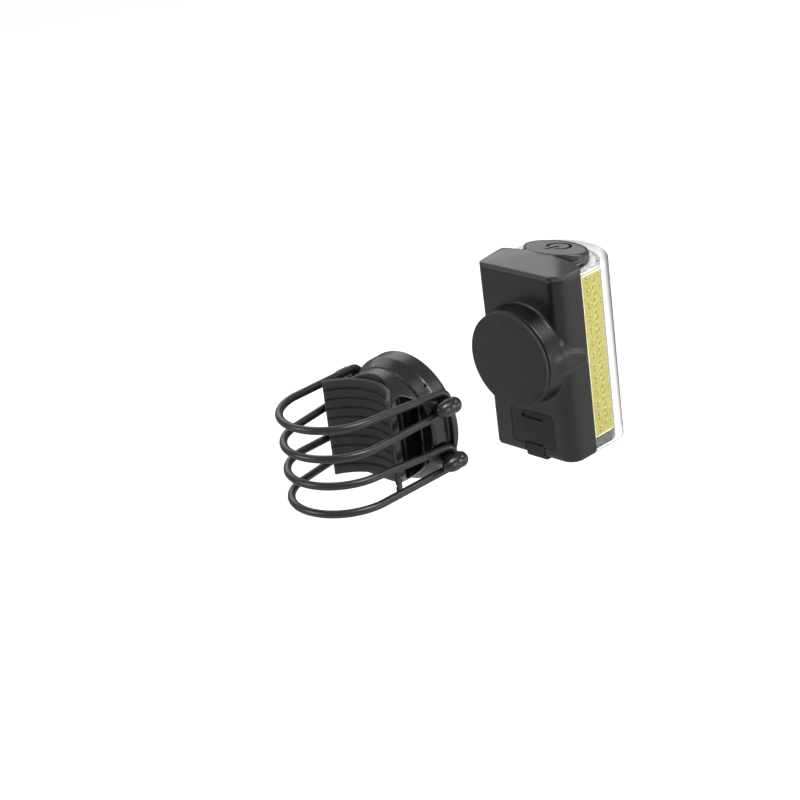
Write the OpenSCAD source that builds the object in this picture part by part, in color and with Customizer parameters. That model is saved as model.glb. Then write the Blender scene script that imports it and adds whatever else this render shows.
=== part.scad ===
// Bicycle headlight on a rubber-ring handlebar bracket, with a magnetic puck.
// Z runs along the tube, X points from the bracket to the light, and the origin lies on the
// tube's axis at the height of the puck. The light is drawn pulled off its bracket.

/* [Tube and saddle] */
// Radius of the tube that the saddle sits on
tube_r = 15.9; // [14:0.1:17.5]
// Thickness of the rubber pad
pad_wall = 1.2; // [0.8:0.1:2]
// Half of the angle that the pad covers round the tube
pad_half_angle = 60; // [56:1:66]
// Height of the saddle and its pad along the tube
saddle_h = 32; // [31:0.5:36]
// Thickness of the saddle between the pad and the dish
saddle_neck = 4.4; // [3.8:0.1:8]
// Radius of the saddle where it meets the tube
saddle_rear_r = 17.6; // [16.5:0.1:18.5]
// Wall between the pad and the side pockets
saddle_wall = 1.6; // [1:0.1:2.4]
// Wall between the side pockets and the dish
saddle_flange = 1.2; // [0.8:0.1:2]
// Distance of each side pocket's floor from the middle
pocket_floor_y = 7; // [5:0.5:9]
// Height of the side pockets
pocket_h = 27; // [20:0.5:28]

/* [Dish] */
// Outer radius of the dish at its rim
dish_r = 20.6; // [19:0.1:23]
// Radius of the dish where it meets the saddle
dish_back_r = 18.3; // [17.8:0.1:18.6]
// Depth of the whole dish from the saddle to the rim
dish_depth = 9.5; // [9:0.1:12]
// Length of the straight band behind the rim
rim_band = 5.6; // [4.5:0.1:6]
// Length of the lip in front of the side flats
rim_lip = 2.5; // [1.5:0.1:3]
// Round-over of the rim's outer edge
rim_round = 0.9; // [0.4:0.1:1.2]
// Depth of the recess that the puck drops into
recess_depth = 4; // [3:0.1:4.2]
// Thickness of the friction liner on the dish's floor
liner_t = 0.8; // [0.5:0.1:1]
// Radius of the magnet in the dish
seat_magnet_r = 11; // [8:0.1:11.5]
// Thickness of the magnet in the dish
seat_magnet_t = 3; // [2:0.1:3.2]
// Distance of the dish screws from the middle
dish_screw_z = 14; // [13.9:0.1:14.2]
// Shank radius of the dish screws
dish_screw_r = 1.25; // [1:0.05:1.3]
// Head radius of the dish screws
dish_screw_head_r = 2.3; // [1.8:0.1:2.4]
// Head height of the dish screws
dish_screw_head_h = 1.4; // [1:0.1:1.6]

/* [Hooks and rubber rings] */
// Height of the hooks above and below the middle
hook_z = 9.2; // [9:0.1:10]
// Distance of the hook posts behind the rim
hook_setback = 5.7; // [5.5:0.1:6]
// Radius of the hook posts
post_r = 2.1; // [1.8:0.1:2.3]
// Radius of the hook horns at their tips
horn_r = 2.6; // [1.8:0.1:2.9]
// Reach of the horns in front of the posts
horn_reach = 1.7; // [1:0.1:3.4]
// Thickness of the rubber ring's cord
cord_d = 2.5; // [2:0.1:2.8]
// Half of the distance between a ring's two strands at the tube
strand_spread = 4.7; // [4.2:0.1:5.2]
// Room between a ring and the bracket
ring_clear = 0.2; // [0.15:0.05:0.3]
// Wall between the puck's recess and each ring's flat
seat_wall = 1.1; // [1:0.05:1.3]

/* [Puck and swivel] */
// Distance that the light stands off its seat, as drawn
pull_off = 48.6; // [0:0.1:80]
// Room between the puck and the dish, on its face and round it
dock_clear = 0.3; // [0.2:0.05:0.5]
// Radius of the puck
puck_r = 16.6; // [15.8:0.1:17]
// Thickness of the puck's rim
puck_edge = 1.4; // [1.2:0.1:2]
// Width of the groove between the puck and the boss
puck_groove = 0.5; // [0.3:0.05:0.7]
// Wall of the puck's cup
cup_wall = 1.6; // [1.2:0.1:2]
// Wall of the boss round the puck's cup
boss_wall = 2.4; // [1.8:0.1:2.6]
// Radius of the boss where it meets the housing
boss_r = 17.3; // [17:0.1:18]
// Distance of the puck's face from the housing's back
boss_h = 8.1; // [8:0.1:10]
// Running clearance of the cup in the boss
swivel_clear = 0.3; // [0.2:0.05:0.4]
// Thickness of the magnet in the puck
puck_magnet_t = 4; // [2.5:0.1:4.2]
// Thickness of the steel plate behind the puck's magnet
puck_plate_t = 1; // [0.5:0.1:1.1]
// Radius of the hub in the middle of the puck
hub_r = 3.2; // [2.8:0.1:4]
// Thread radius of the swivel screw
swivel_thread_r = 1.6; // [1.2:0.1:1.8]
// Shoulder radius of the swivel screw
swivel_shank_r = 2; // [1.9:0.1:2.4]
// Head radius of the swivel screw
swivel_head_r = 3.8; // [3.2:0.1:4.5]
// Head height of the swivel screw
swivel_head_h = 1.8; // [1.2:0.1:2.2]
// Thickness of the spring washer
washer_t = 0.5; // [0.3:0.05:0.8]

/* [Light housing] */
// Width of the light
body_w = 34.7; // [34.6:0.1:37]
// Height of the light's flat top edge above the puck's axis
body_top = 28.7; // [27.5:0.1:31]
// Depth of the light's bottom below the puck's axis
body_bottom = 37.35; // [36.8:0.05:40]
// Distance of the lens seam from the housing's back
rear_depth = 11.5; // [11.4:0.1:13]
// Radius of the housing's upright back corner on the -Y side
near_corner_r = 5; // [3:0.1:6]
// Radius of the housing's upright back corner on the +Y side
far_corner_r = 1.2; // [0.5:0.1:3]
// Wall of the housing
wall = 1.8; // [1.7:0.1:2.2]
// Radius of the lens's front curve
front_r = 21; // [19.5:0.1:23]
// Distance of the front curve's centre from the housing's back
front_centre = 13; // [12:0.1:14]
// Radius where the front curve meets the sides
front_corner_r = 5; // [4:0.1:6]
// Round-over of the bottom edge
bottom_round = 1.6; // [0.8:0.1:2]
// Wall of the clear lens at its sides, top and bottom
lens_wall = 1; // [0.8:0.1:1.4]
// Thickness of the clear lens at its front
lens_front = 2.7; // [1.8:0.1:2.9]
// Thickness of the cap at the housing's back edge
cap_edge = 1.4; // [1:0.1:2]
// Width and depth of the lens gasket
gasket_w = 0.8; // [0.5:0.1:0.9]
// Distance of the gasket from the housing's outer face
gasket_inset = 0.35; // [0.3:0.05:0.5]
// Half height of the fin that runs from the boss to the seam, where it leaves the boss
fin_root_r = 11; // [8:0.1:12]
// Half height of the fin where it has rounded the housing's corner
fin_waist_half = 3.9; // [3:0.1:5]
// Height that the fin stands off the housing's side
fin_proud = 0.5; // [0.3:0.05:0.8]
// Half height of the fin's tip
fin_tip_half = 1.4; // [0.8:0.1:2]
// Height of the fin's middle below the puck's axis
fin_drop = 1.8; // [0:0.1:3]

/* [Cap and button] */
// Height of the cap's raised nose above the flat edge
nose_rise = 2.3; // [1.8:0.1:3]
// How far the cap's shoulder rises above the housing's top edge
shoulder_rise = 1.5; // [0.8:0.1:1.7]
// Distance of the shoulder from the housing's sides
shoulder_inset = 1.7; // [1.2:0.1:2.6]
// Distance of the nose's middle from the housing's back
nose_x = 18.3; // [17.8:0.1:18.6]
// Half length of the nose, front to back
nose_a = 8; // [7.8:0.1:8.6]
// Half width of the nose
nose_b = 13.8; // [13.6:0.1:14.4]
// Half length of the button, front to back
button_a = 5.8; // [5:0.1:5.9]
// Half width of the button
button_b = 11.5; // [10:0.1:11.6]
// Height of the button above the nose
button_proud = 0.5; // [0.3:0.1:1]
// Travel of the button
button_travel = 0.6; // [0.3:0.1:0.8]
// Gap round the button
button_gap = 0.25; // [0.15:0.05:0.35]
// Thickness of the cap over the button's flange
cap_wall = 1.4; // [1:0.1:1.6]
// Thickness of the button's flange
flange_t = 0.8; // [0.5:0.1:1]
// Width of the button's flange beyond its edge
flange_w = 0.8; // [0.6:0.05:0.9]
// Half length of the oval in the power mark, front to back
mark_a = 2.5; // [2:0.1:3]
// Half width of the oval in the power mark
mark_b = 4.7; // [4:0.1:5.4]
// Line width of the power mark
mark_w = 0.5; // [0.3:0.05:0.7]
// Depth of the power mark
mark_depth = 0.25; // [0.1:0.05:0.4]

/* [Lamp] */
// Air gap between the lens and the phosphor
lamp_gap = 0.3; // [0.2:0.05:0.5]
// Thickness of the phosphor layer
phosphor_t = 0.5; // [0.3:0.05:0.7]
// Thickness of the lamp's circuit board
lamp_board_t = 0.6; // [0.4:0.05:0.8]
// Wall of the carrier that the lamp's board is bonded to
carrier_wall = 1.3; // [1:0.1:1.4]
// Height of the dark foot below the lamp
carrier_foot = 3.4; // [2.5:0.1:6]
// Distance of the phosphor's edge from the lens seam
lamp_inset = 1.1; // [0.8:0.1:2]
// Border of bare board round the phosphor
lamp_border = 0.5; // [0.3:0.1:1]
// Thickness of the carrier's shelf and floor
shelf_t = 1.8; // [1.2:0.1:2.4]
// Thickness of the white plate under the lens's top
reflector_t = 0.6; // [0.4:0.1:0.8]

/* [Electronics] */
// Thickness of the circuit boards
board_t = 1.2; // [0.8:0.1:1.6]
// Width of the main circuit board
board_w = 27; // [26:0.5:28]
// Height of the main circuit board
board_h = 54; // [52:0.5:56]
// Distance of the main board from the lens seam
board_setback = 1.1; // [1:0.1:1.4]
// Distance of the board screws from the middle, sideways
board_screw_y = 11.4; // [11:0.1:11.8]
// Distance between the upper and the lower board screws
board_screw_pitch = 38; // [34:0.5:42]
// Shank radius of the board screws
board_screw_r = 0.9; // [0.8:0.05:1]
// Head radius of the board screws
board_screw_head_r = 1.7; // [1.5:0.1:1.9]
// Head height of the board screws
board_screw_head_h = 0.9; // [0.6:0.1:1.2]
// Radius of the screw posts in the housing
screw_post_r = 2.2; // [1.9:0.1:2.6]
// Side of the two square chips on the main board
chip_w = 4.5; // [3:0.1:5]
// Thickness of the chips
chip_t = 1.1; // [0.8:0.1:1.6]
// Side of the square coil on the main board
coil_w = 6; // [4:0.1:7]
// Thickness of the coil
coil_t = 2.6; // [1.5:0.1:3]
// Side of the square capacitor on the main board
capacitor_w = 3.5; // [2:0.1:4]
// Thickness of the capacitor
capacitor_t = 1.6; // [1:0.1:2]
// Distance of the chips, coil and capacitor from the board's middle line
parts_y = 6; // [5:0.1:6.5]
// Height of the chips above the puck's axis, and depth of the coil and capacitor below it
parts_z = 11; // [10:0.5:13]
// Radius of the battery cell
cell_r = 8.7; // [8:0.1:8.8]
// Length of the battery cell
cell_h = 42; // [38:0.5:44]
// Thickness of the battery's solder tabs
tab_t = 0.3; // [0.2:0.05:0.5]
// Width of the battery's solder tabs
tab_w = 4; // [2:0.1:6]
// Length of the switch's board, front to back
switch_board_l = 10; // [8:0.5:11]
// Width of the switch's board
switch_board_w = 14; // [10:0.5:18]
// Side of the square switch under the button
switch_w = 6.2; // [5:0.1:7]
// Height of the switch's body
switch_h = 3.4; // [3:0.1:3.6]
// Radius of the switch's plunger
plunger_r = 1.7; // [1.2:0.1:2]

/* [Charging port] */
// Height of the port's middle below the puck's axis
port_drop = 27.4; // [27:0.1:28]
// Width of the flap
flap_w = 19; // [17:0.1:20]
// Height of the flap
flap_h = 12.5; // [11:0.1:12.7]
// Thickness of the flap
flap_t = 1; // [0.8:0.05:1.2]
// Corner radius of the flap
flap_corner_r = 1.8; // [1:0.1:2.5]
// Gap between the flap and its recess
flap_gap = 0.15; // [0.1:0.05:0.25]
// Width of the flap's strap
strap_w = 8; // [6:0.1:9]
// Radius of the strap's bend
bend_r = 0.75; // [0.6:0.05:0.8]
// Height of the bend's axis above the housing's bottom
bend_rise = 0.45; // [0.3:0.05:0.8]
// Width of the hole behind the flap
port_w = 12; // [11:0.1:13]
// Height of the hole behind the flap
port_h = 7; // [6.4:0.1:7.4]
// Width of the socket
socket_w = 8; // [7.5:0.1:8.5]
// Height of the socket
socket_h = 3.2; // [3:0.1:3.6]
// Wall of the socket's metal shell
socket_wall = 0.4; // [0.3:0.05:0.45]
// Width of the nail slot in the flap
nail_w = 9; // [6:0.1:11]
// Height of the nail slot in the flap
nail_h = 1.6; // [1:0.1:1.8]
// Distance of the nail slot's middle below the flap's top edge
nail_drop = 2.1; // [2:0.1:3]

/* [Hidden] */

$fn = 72;
eps = 0.01;
far = 200;

// Saddle and dish, along X
pad_r = tube_r + pad_wall;
seam_dish_x = pad_r + saddle_neck;
rim_x = seam_dish_x + dish_depth;
band_x = rim_x - rim_band;
liner_x = rim_x - recess_depth;
dish_floor_x = liner_x - liner_t;
recess_r = puck_r + dock_clear + 0.4;
saddle_half_y = pad_r * sin(pad_half_angle);
pocket_front_x = seam_dish_x - saddle_flange;

// Hooks and rings
hook_x = rim_x - hook_setback;
ring_r = cord_d / 2;
loop_r = post_r + ring_r + 0.1;
seat_r = loop_r + ring_r + ring_clear;
seat_y = sqrt(pow(recess_r, 2) - pow(hook_z - seat_r, 2)) + seat_wall;
ring_y = seat_y + ring_clear + ring_r;
horn_y = ring_y + ring_r + ring_clear + horn_r;
strand_relief = 0.4;
wrap_r = tube_r + ring_r;
leave_angle = atan2(ring_y, hook_x) + acos(wrap_r / norm([hook_x, ring_y]));

// Puck and boss, along X
puck_x = liner_x + dock_clear + pull_off;
back_x = puck_x + boss_h;
cup_x = puck_x + puck_edge;
boss_x = cup_x + puck_groove;
pocket_r = puck_r - boss_wall;
cup_r = pocket_r - swivel_clear;
cup_end_x = back_x - 0.8;
pocket_end_x = cup_end_x + swivel_clear;
inner_x = back_x + wall;
puck_magnet_r = cup_r - cup_wall - 0.1;

// Housing
half_w = body_w / 2;
seam_x = back_x + rear_depth;
arc_x = back_x + front_centre;
front_x = arc_x + front_r;
floor_z = -body_bottom;
shell_top = body_top - cap_edge;
blend_y = half_w - front_corner_r;
blend_x = arc_x + sqrt(pow(front_r - front_corner_r, 2) - pow(blend_y, 2));
blend_angle = atan2(blend_y, blend_x - arc_x);

// Cap and button
nose_top = body_top + nose_rise;
nose_cx = back_x + nose_x;
button_top = nose_top + button_proud;
flange_top = nose_top - cap_wall - 0.1;
flange_bottom = flange_top - flange_t;
well_a = button_a + flange_w + button_gap;
well_b = button_b + flange_w + button_gap;

// Lamp, as insets from the lens's inner face
phosphor_d = lamp_gap;
lamp_board_d = phosphor_d + phosphor_t;
carrier_d = lamp_board_d + lamp_board_t;
carrier_in_d = carrier_d + carrier_wall;
lamp_x = seam_x + 0.3;
carrier_bottom = floor_z + lens_wall + 0.1;
carrier_top = shell_top - lens_wall - 0.1 - reflector_t;
lamp_bottom = carrier_bottom + carrier_foot;

// Boards, cell and switch
board_x = seam_x - board_setback - board_t;
board_top = port_board_z() + board_h;
board_screw_mid = board_top - 2.6 - board_screw_pitch / 2;
cell_x = board_x + board_t + 0.35 + cell_r;
plunger_bottom = shell_top - 1.3;
switch_top = plunger_bottom + 0.9;
switch_bottom = switch_top - switch_h;
shelf_top = switch_bottom - board_t;
cell_top = shelf_top - shelf_t - 2.5;
cell_bottom = cell_top - cell_h;

// Port
port_z = -port_drop;
flap_bottom = port_z - flap_h / 2;
bend_x = back_x + bend_r;
bend_z = floor_z + bend_rise;
recess_x = back_x + flap_t + 0.1;
socket_x = inner_x - 0.4;
root_x = bend_x + bend_r + 0.1;

function port_board_z() = floor_z + wall + 2;

function arc_points(cx, cy, r, from, to, steps) =
    [for (i = [0:steps]) let (a = from + (to - from) * i / steps) [cx + r * cos(a), cy + r * sin(a)]];

function ellipse_points(a, b) = [for (i = [0:59]) [a * cos(6 * i), b * sin(6 * i)]];

// The light's outline seen from above, drawn in from its outer face by d
function light_outline(d) = concat(
    arc_points(blend_x, -blend_y, front_corner_r - d, -90, -blend_angle, 5),
    arc_points(arc_x, 0, front_r - d, -blend_angle, blend_angle, 24),
    arc_points(blend_x, blend_y, front_corner_r - d, blend_angle, 90, 5),
    back_corner(1, max(far_corner_r, d + 0.2), d, 90),
    back_corner(-1, max(near_corner_r, d + 0.2), d, 180)
);
function back_corner(side, r, d, from) =
    arc_points(back_x + r, side * (half_w - r), r - d, from, from + 90, 8);

// The lens's inner face seen from above, drawn in by d and cut off at x
function lamp_outline(d, x) =
    let (y = half_w - lens_wall - d,
         r = front_r - lens_front - d,
         corner_r = max(front_corner_r - lens_wall - d, 0.2),
         corner_x = arc_x + sqrt(pow(r - corner_r, 2) - pow(y - corner_r, 2)),
         angle = atan2(y - corner_r, corner_x - arc_x))
    concat(
        [[x, -y]],
        arc_points(corner_x, corner_r - y, corner_r, -90, -angle, 5),
        arc_points(arc_x, 0, r, -angle, angle, 24),
        arc_points(corner_x, y - corner_r, corner_r, angle, 90, 5),
        [[x, y]]
    );

// The gasket's path across the seam, round at the bottom corners, drawn in by d from the outer face
function gasket_outline(d, top) = concat(
    [[d - half_w, top]],
    arc_points(bottom_round - half_w, floor_z + bottom_round, bottom_round - d, 180, 270, 4),
    arc_points(half_w - bottom_round, floor_z + bottom_round, bottom_round - d, 270, 360, 4),
    [[half_w - d, top]]
);

// One closed rubber ring: round the tube, out to a hook, back round the tube, out to the other
function ring_path(z) = concat(
    wrap_points(z + strand_spread, leave_angle, 360 - leave_angle),
    loop_points(z, -1, 90, -90),
    wrap_points(z - strand_spread, 360 - leave_angle, leave_angle),
    loop_points(z, 1, -90, 90)
);
function wrap_points(z, from, to) =
    [for (i = [0:16]) let (a = from + (to - from) * i / 16)
        [[wrap_r * cos(a), wrap_r * sin(a), z], [cos(a), sin(a), 0]]];
function loop_points(z, side, from, to) =
    [for (i = [0:9]) let (a = from + (to - from) * i / 9)
        [[hook_x + loop_r * cos(a), side * ring_y, z + loop_r * sin(a)], [0, side, 0]]];

function unit(v) = v / norm(v);

module swept_ring(path, r, sides) {
    n = len(path);
    rings = [for (i = [0:n - 1])
        let (t = unit(unit(path[(i + 1) % n][0] - path[i][0]) + unit(path[i][0] - path[(i + n - 1) % n][0])),
             out = unit(path[i][1] - (path[i][1] * t) * t),
             up = cross(t, out))
        [for (j = [0:sides - 1]) path[i][0] + r * (cos(360 * j / sides) * out + sin(360 * j / sides) * up)]];
    points = [for (ring = rings, p = ring) p];
    faces = [for (i = [0:n - 1], j = [0:sides - 1])
        let (a = i * sides + j, b = i * sides + (j + 1) % sides,
             c = ((i + 1) % n) * sides + (j + 1) % sides, d = ((i + 1) % n) * sides + j)
        each [[a, c, b], [a, d, c]]];
    polyhedron(points, faces, convexity = 10);
}

// Turns the children so that their Z runs along X, and moves them to x
module along_x(x) {
    translate([x, 0, 0]) rotate([0, 90, 0]) children();
}

module disc(x, length, r) {
    along_x(x) cylinder(h = length, r = r);
}

// A box given by its two corners
module span(low, high) {
    translate(low) cube(high - low);
}

module both_sides() {
    children();
    mirror([0, 1, 0]) children();
}

module at_hooks() {
    for (z = [-hook_z, hook_z]) both_sides() translate([hook_x, 0, z]) children();
}

module slab(outline, low, high) {
    translate([0, 0, low]) linear_extrude(height = high - low) polygon(outline);
}

module saddle_block() {
    color("#2b2b2d") difference() {
        intersection() {
            rotate([0, 90, 0]) cylinder(h = seam_dish_x, r1 = saddle_rear_r, r2 = dish_back_r);
            span([0, -saddle_half_y, -dish_back_r], [seam_dish_x, saddle_half_y, dish_back_r]);
        }
        translate([0, 0, -far / 2]) cylinder(h = far, r = pad_r);
        span([-far, -far, -far], [pad_r * cos(pad_half_angle), far, far]);
        both_sides() saddle_pocket();
        for (z = [-dish_screw_z, dish_screw_z]) translate([0, 0, z])
            disc(seam_dish_x - saddle_neck + 0.8, far, dish_screw_r);
    }
}

// Arched pocket in the side of the saddle, which leaves a thin wall round the pad
module saddle_pocket() {
    arch_r = (pocket_front_x - pad_r * cos(pad_half_angle) - saddle_wall) / 2;
    arch_x = pocket_front_x - arch_r;
    difference() {
        translate([arch_x, -pocket_floor_y, 0]) rotate([90, 0, 0]) {
            for (z = [-1, 1]) translate([0, z * (pocket_h / 2 - arch_r), 0]) cylinder(h = far, r = arch_r);
            translate([-arch_r, arch_r - pocket_h / 2, 0]) cube([2 * arch_r, pocket_h - 2 * arch_r, far]);
        }
        translate([0, 0, -far / 2]) cylinder(h = far, r = pad_r + saddle_wall);
    }
}

module saddle_pad() {
    color("#3a3a3c") translate([0, 0, -saddle_h / 2])
        rotate([0, 0, -pad_half_angle]) rotate_extrude(angle = 2 * pad_half_angle)
            translate([tube_r, 0]) square([pad_wall, saddle_h]);
}

module seat_dish() {
    color("#2b2b2d") difference() {
        union() {
            difference() {
                dish_body();
                at_hooks() ring_seat();
                both_sides() side_flat();
            }
            at_hooks() hook();
        }
        disc(dish_floor_x - seat_magnet_t, far, seat_magnet_r + 0.1);
        for (z = [-dish_screw_z, dish_screw_z]) translate([0, 0, z]) {
            disc(seam_dish_x - 1, far, dish_screw_r);
            disc(dish_floor_x - dish_screw_head_h, far, dish_screw_head_r);
        }
    }
}

module dish_body() {
    rotate([0, 90, 0]) rotate_extrude() polygon(concat(
        [[0, seam_dish_x], [dish_back_r, seam_dish_x], [dish_r - 0.2, band_x]],
        [for (a = [0:22.5:90]) [dish_r - rim_round + rim_round * cos(a), rim_x - rim_round + rim_round * sin(a)]],
        [[recess_r + 0.5, rim_x], [recess_r, rim_x - 0.5], [recess_r, dish_floor_x], [0, dish_floor_x]]
    ));
}

// Round flat that the rubber ring's loop lies on, and the relief behind it for the two strands
module ring_seat() {
    translate([0, -seat_y, 0]) rotate([90, 0, 0]) cylinder(h = far, r = seat_r);
    span([seam_dish_x - hook_x - eps, -far, -seat_r], [0, strand_relief - seat_y, seat_r]);
}

// Shallower flat between the upper and the lower hook, behind the lip
module side_flat() {
    span([seam_dish_x + 1, -far, -hook_z], [rim_x - rim_lip, -recess_r - seat_wall, hook_z]);
}

module hook() {
    root_y = seat_y - 1.6;
    translate([0, -root_y, 0]) rotate([90, 0, 0]) cylinder(h = horn_y - root_y, r = post_r);
    translate([0, -horn_y, 0]) sphere(r = post_r);
    translate([0, -horn_y, 0]) rotate([0, 90, 0]) cylinder(h = horn_reach, r1 = post_r, r2 = horn_r);
    translate([horn_reach, -horn_y, 0]) sphere(r = horn_r);
}

module dish_screws() {
    color("#8d9094") for (z = [-dish_screw_z, dish_screw_z]) translate([0, 0, z]) {
        disc(seam_dish_x - saddle_neck + 0.8, dish_floor_x - seam_dish_x + saddle_neck - 1, dish_screw_r);
        difference() {
            disc(dish_floor_x - dish_screw_head_h, dish_screw_head_h, dish_screw_head_r);
            span([dish_floor_x - 0.6, -0.3, -1.5], [far, 0.3, 1.5]);
            span([dish_floor_x - 0.6, -1.5, -0.3], [far, 1.5, 0.3]);
        }
    }
}

module seat_magnet() {
    color("#b9bbbd") disc(dish_floor_x - seat_magnet_t, seat_magnet_t, seat_magnet_r);
}

module seat_liner() {
    color("#26272a") disc(dish_floor_x, liner_t, recess_r - 0.1);
}

module o_ring_upper() {
    color("#3c3d3f") swept_ring(ring_path(hook_z), ring_r, 12);
}

module o_ring_lower() {
    color("#3c3d3f") swept_ring(ring_path(-hook_z), ring_r, 12);
}

module puck_cover() {
    edge = 0.4;
    color("#3d3d3d") difference() {
        union() {
            rotate([0, 90, 0]) rotate_extrude() polygon([
                [0, puck_x], [puck_r - edge, puck_x], [puck_r, puck_x + edge], [puck_r, cup_x], [0, cup_x]
            ]);
            difference() {
                disc(cup_x - eps, cup_end_x - cup_x + eps, cup_r);
                disc(cup_x - eps, far, cup_r - cup_wall);
            }
            disc(cup_x - eps, cup_end_x - cup_x + eps, hub_r);
        }
        disc(cup_x + 1, far, swivel_thread_r);
    }
}

module puck_magnet() {
    color("#b9bbbd") difference() {
        disc(cup_x, puck_magnet_t, puck_magnet_r);
        disc(cup_x - 1, far, hub_r + 0.1);
    }
}

module puck_plate() {
    color("#9a9da0") difference() {
        disc(cup_x + puck_magnet_t, puck_plate_t, puck_magnet_r);
        disc(cup_x - 1, far, hub_r + 0.1);
    }
}

module swivel_screw() {
    head_x = inner_x + washer_t + 0.1;
    color("#8d9094") difference() {
        union() {
            disc(cup_x + 1.2, cup_end_x - cup_x - 1.2 + eps, swivel_thread_r);
            disc(cup_end_x, head_x - cup_end_x + eps, swivel_shank_r);
            disc(head_x, swivel_head_h, swivel_head_r);
        }
        span([head_x + swivel_head_h - 1, -0.45, -2.4], [far, 0.45, 2.4]);
        span([head_x + swivel_head_h - 1, -2.4, -0.45], [far, 2.4, 0.45]);
    }
}

module swivel_washer() {
    color("#a4a6a9") difference() {
        disc(inner_x, washer_t, swivel_head_r + 0.6);
        disc(inner_x - 1, far, swivel_shank_r + 0.15);
    }
}

// The light's whole outer block, rounded along the bottom edge
module light_block() {
    hull() {
        slab(light_outline(bottom_round), floor_z, floor_z + eps);
        slab(light_outline(bottom_round * 0.3), floor_z + bottom_round * 0.3, floor_z + bottom_round);
        slab(light_outline(0), floor_z + bottom_round, shell_top);
    }
}

module gasket_frame() {
    translate([seam_x - gasket_w, 0, 0]) rotate([90, 0, 90]) linear_extrude(height = gasket_w) difference() {
        polygon(gasket_outline(gasket_inset, shell_top - 0.3));
        polygon(gasket_outline(gasket_inset + gasket_w, shell_top));
    }
}

module rear_shell() {
    color("#363638") difference() {
        union() {
            difference() {
                union() {
                    intersection() {
                        light_block();
                        span([0, -far, -far], [seam_x, far, far]);
                    }
                    swivel_boss();
                    both_sides() corner_fin();
                }
                shell_cavity();
            }
            at_board_screws() disc(inner_x - 0.2, board_x - inner_x + 0.2, screw_post_r);
        }
        disc(0, pocket_end_x, pocket_r);
        disc(0, far, swivel_shank_r + 0.1);
        at_board_screws() disc(inner_x + 1, far, board_screw_r);
        flap_recess();
        root_slot();
        gasket_frame();
    }
}

module shell_cavity() {
    intersection() {
        slab(light_outline(wall), floor_z + wall, far);
        span([inner_x, -far, -far], [far, far, far]);
    }
}

// Round boss behind the puck
module swivel_boss() {
    rotate([0, 90, 0]) rotate_extrude() polygon([
        [0, boss_x], [puck_r - 0.1, boss_x], [boss_r, back_x], [boss_r, back_x + 1], [0, back_x + 1]
    ]);
}

// Fin that runs from the boss round a back corner and ends near the seam
module corner_fin() {
    hull() {
        translate([0, fin_root_r - boss_r + 0.5, 0]) disc(back_x - 4, 0.1, fin_root_r, $fn = 48);
        translate([0, fin_root_r - half_w - fin_proud, 0]) disc(back_x - 0.5, 0.5, fin_root_r, $fn = 48);
        fin_edge(back_x + 4.4, 1.6, fin_waist_half - 1.6, fin_drop / 4);
    }
    hull() {
        fin_edge(back_x + 4.4, 1.6, fin_waist_half - 1.6, fin_drop / 4);
        fin_edge(seam_x - 1.4, 0.8, fin_tip_half, fin_drop);
    }
}

// Two balls, one above the other, that touch the fin's outer face
module fin_edge(x, r, half, drop) {
    for (z = [-half, half]) translate([x, r - half_w - fin_proud, z - drop]) sphere(r = r, $fn = 24);
}

module flap_plate(grow, x, depth) {
    r = flap_corner_r + grow;
    w = flap_w / 2 + grow - r;
    h = flap_h / 2 + grow - r;
    corners = [for (c = [[1, 1, 0], [-1, 1, 90], [-1, -1, 180], [1, -1, 270]])
        each arc_points(c[0] * w, c[1] * h, r, c[2], c[2] + 90, 5)];
    translate([x + depth, 0, port_z]) rotate([0, -90, 0]) rotate([0, 0, 90])
        linear_extrude(height = depth) polygon(corners);
}

module flap_recess() {
    strap_y = strap_w / 2 + 0.3;
    flap_plate(flap_gap, back_x - 1, recess_x - back_x + 1);
    span([0, -port_w / 2, port_z - port_h / 2], [inner_x + 0.5, port_w / 2, port_z + port_h / 2]);
    span([back_x - 1, -strap_y, bend_z + 1], [recess_x + 0.15, strap_y, flap_bottom + 1]);
    span([back_x - 1, -strap_y, -far], [root_x + 0.25, strap_y, bend_z + 1]);
}

module root_slot() {
    span([root_x + 1, -strap_w / 2 + 1, -far], [root_x + 3.2, strap_w / 2 - 1, floor_z + wall + 1]);
}

module flap_root() {
    color("#303032") {
        span([root_x + 1, -strap_w / 2 + 1, floor_z - 0.3], [root_x + 3.2, strap_w / 2 - 1, floor_z + wall]);
        span([root_x + 0.6, -strap_w / 2 + 0.4, floor_z + wall], [root_x + 3.6, strap_w / 2 - 0.4, floor_z + wall + 0.9]);
        span([root_x, -strap_w / 2, floor_z - 1.3], [root_x + 4.2, strap_w / 2, floor_z]);
    }
}

module port_flap() {
    nail_z = port_z + flap_h / 2 - nail_drop;
    color("#303032") difference() {
        union() {
            flap_plate(0, back_x, flap_t);
            span([back_x + flap_t - eps, 0.4 - port_w / 2, port_z - port_h / 2 + 0.4],
                 [socket_x - 0.2, port_w / 2 - 0.4, port_z + port_h / 2 - 0.4]);
            span([socket_x - 0.3, 0.9 - socket_w / 2, port_z - 0.55], [socket_x + 0.9, socket_w / 2 - 0.9, port_z + 0.05]);
            span([back_x, -strap_w / 2, bend_z], [back_x + flap_t, strap_w / 2, flap_bottom + 0.5]);
            translate([bend_x, strap_w / 2, bend_z]) rotate([90, 0, 0]) cylinder(h = strap_w, r = bend_r);
        }
        span([0, -nail_w / 2, nail_z - nail_h / 2], [back_x + 0.6, nail_w / 2, nail_z + nail_h / 2]);
    }
}

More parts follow.
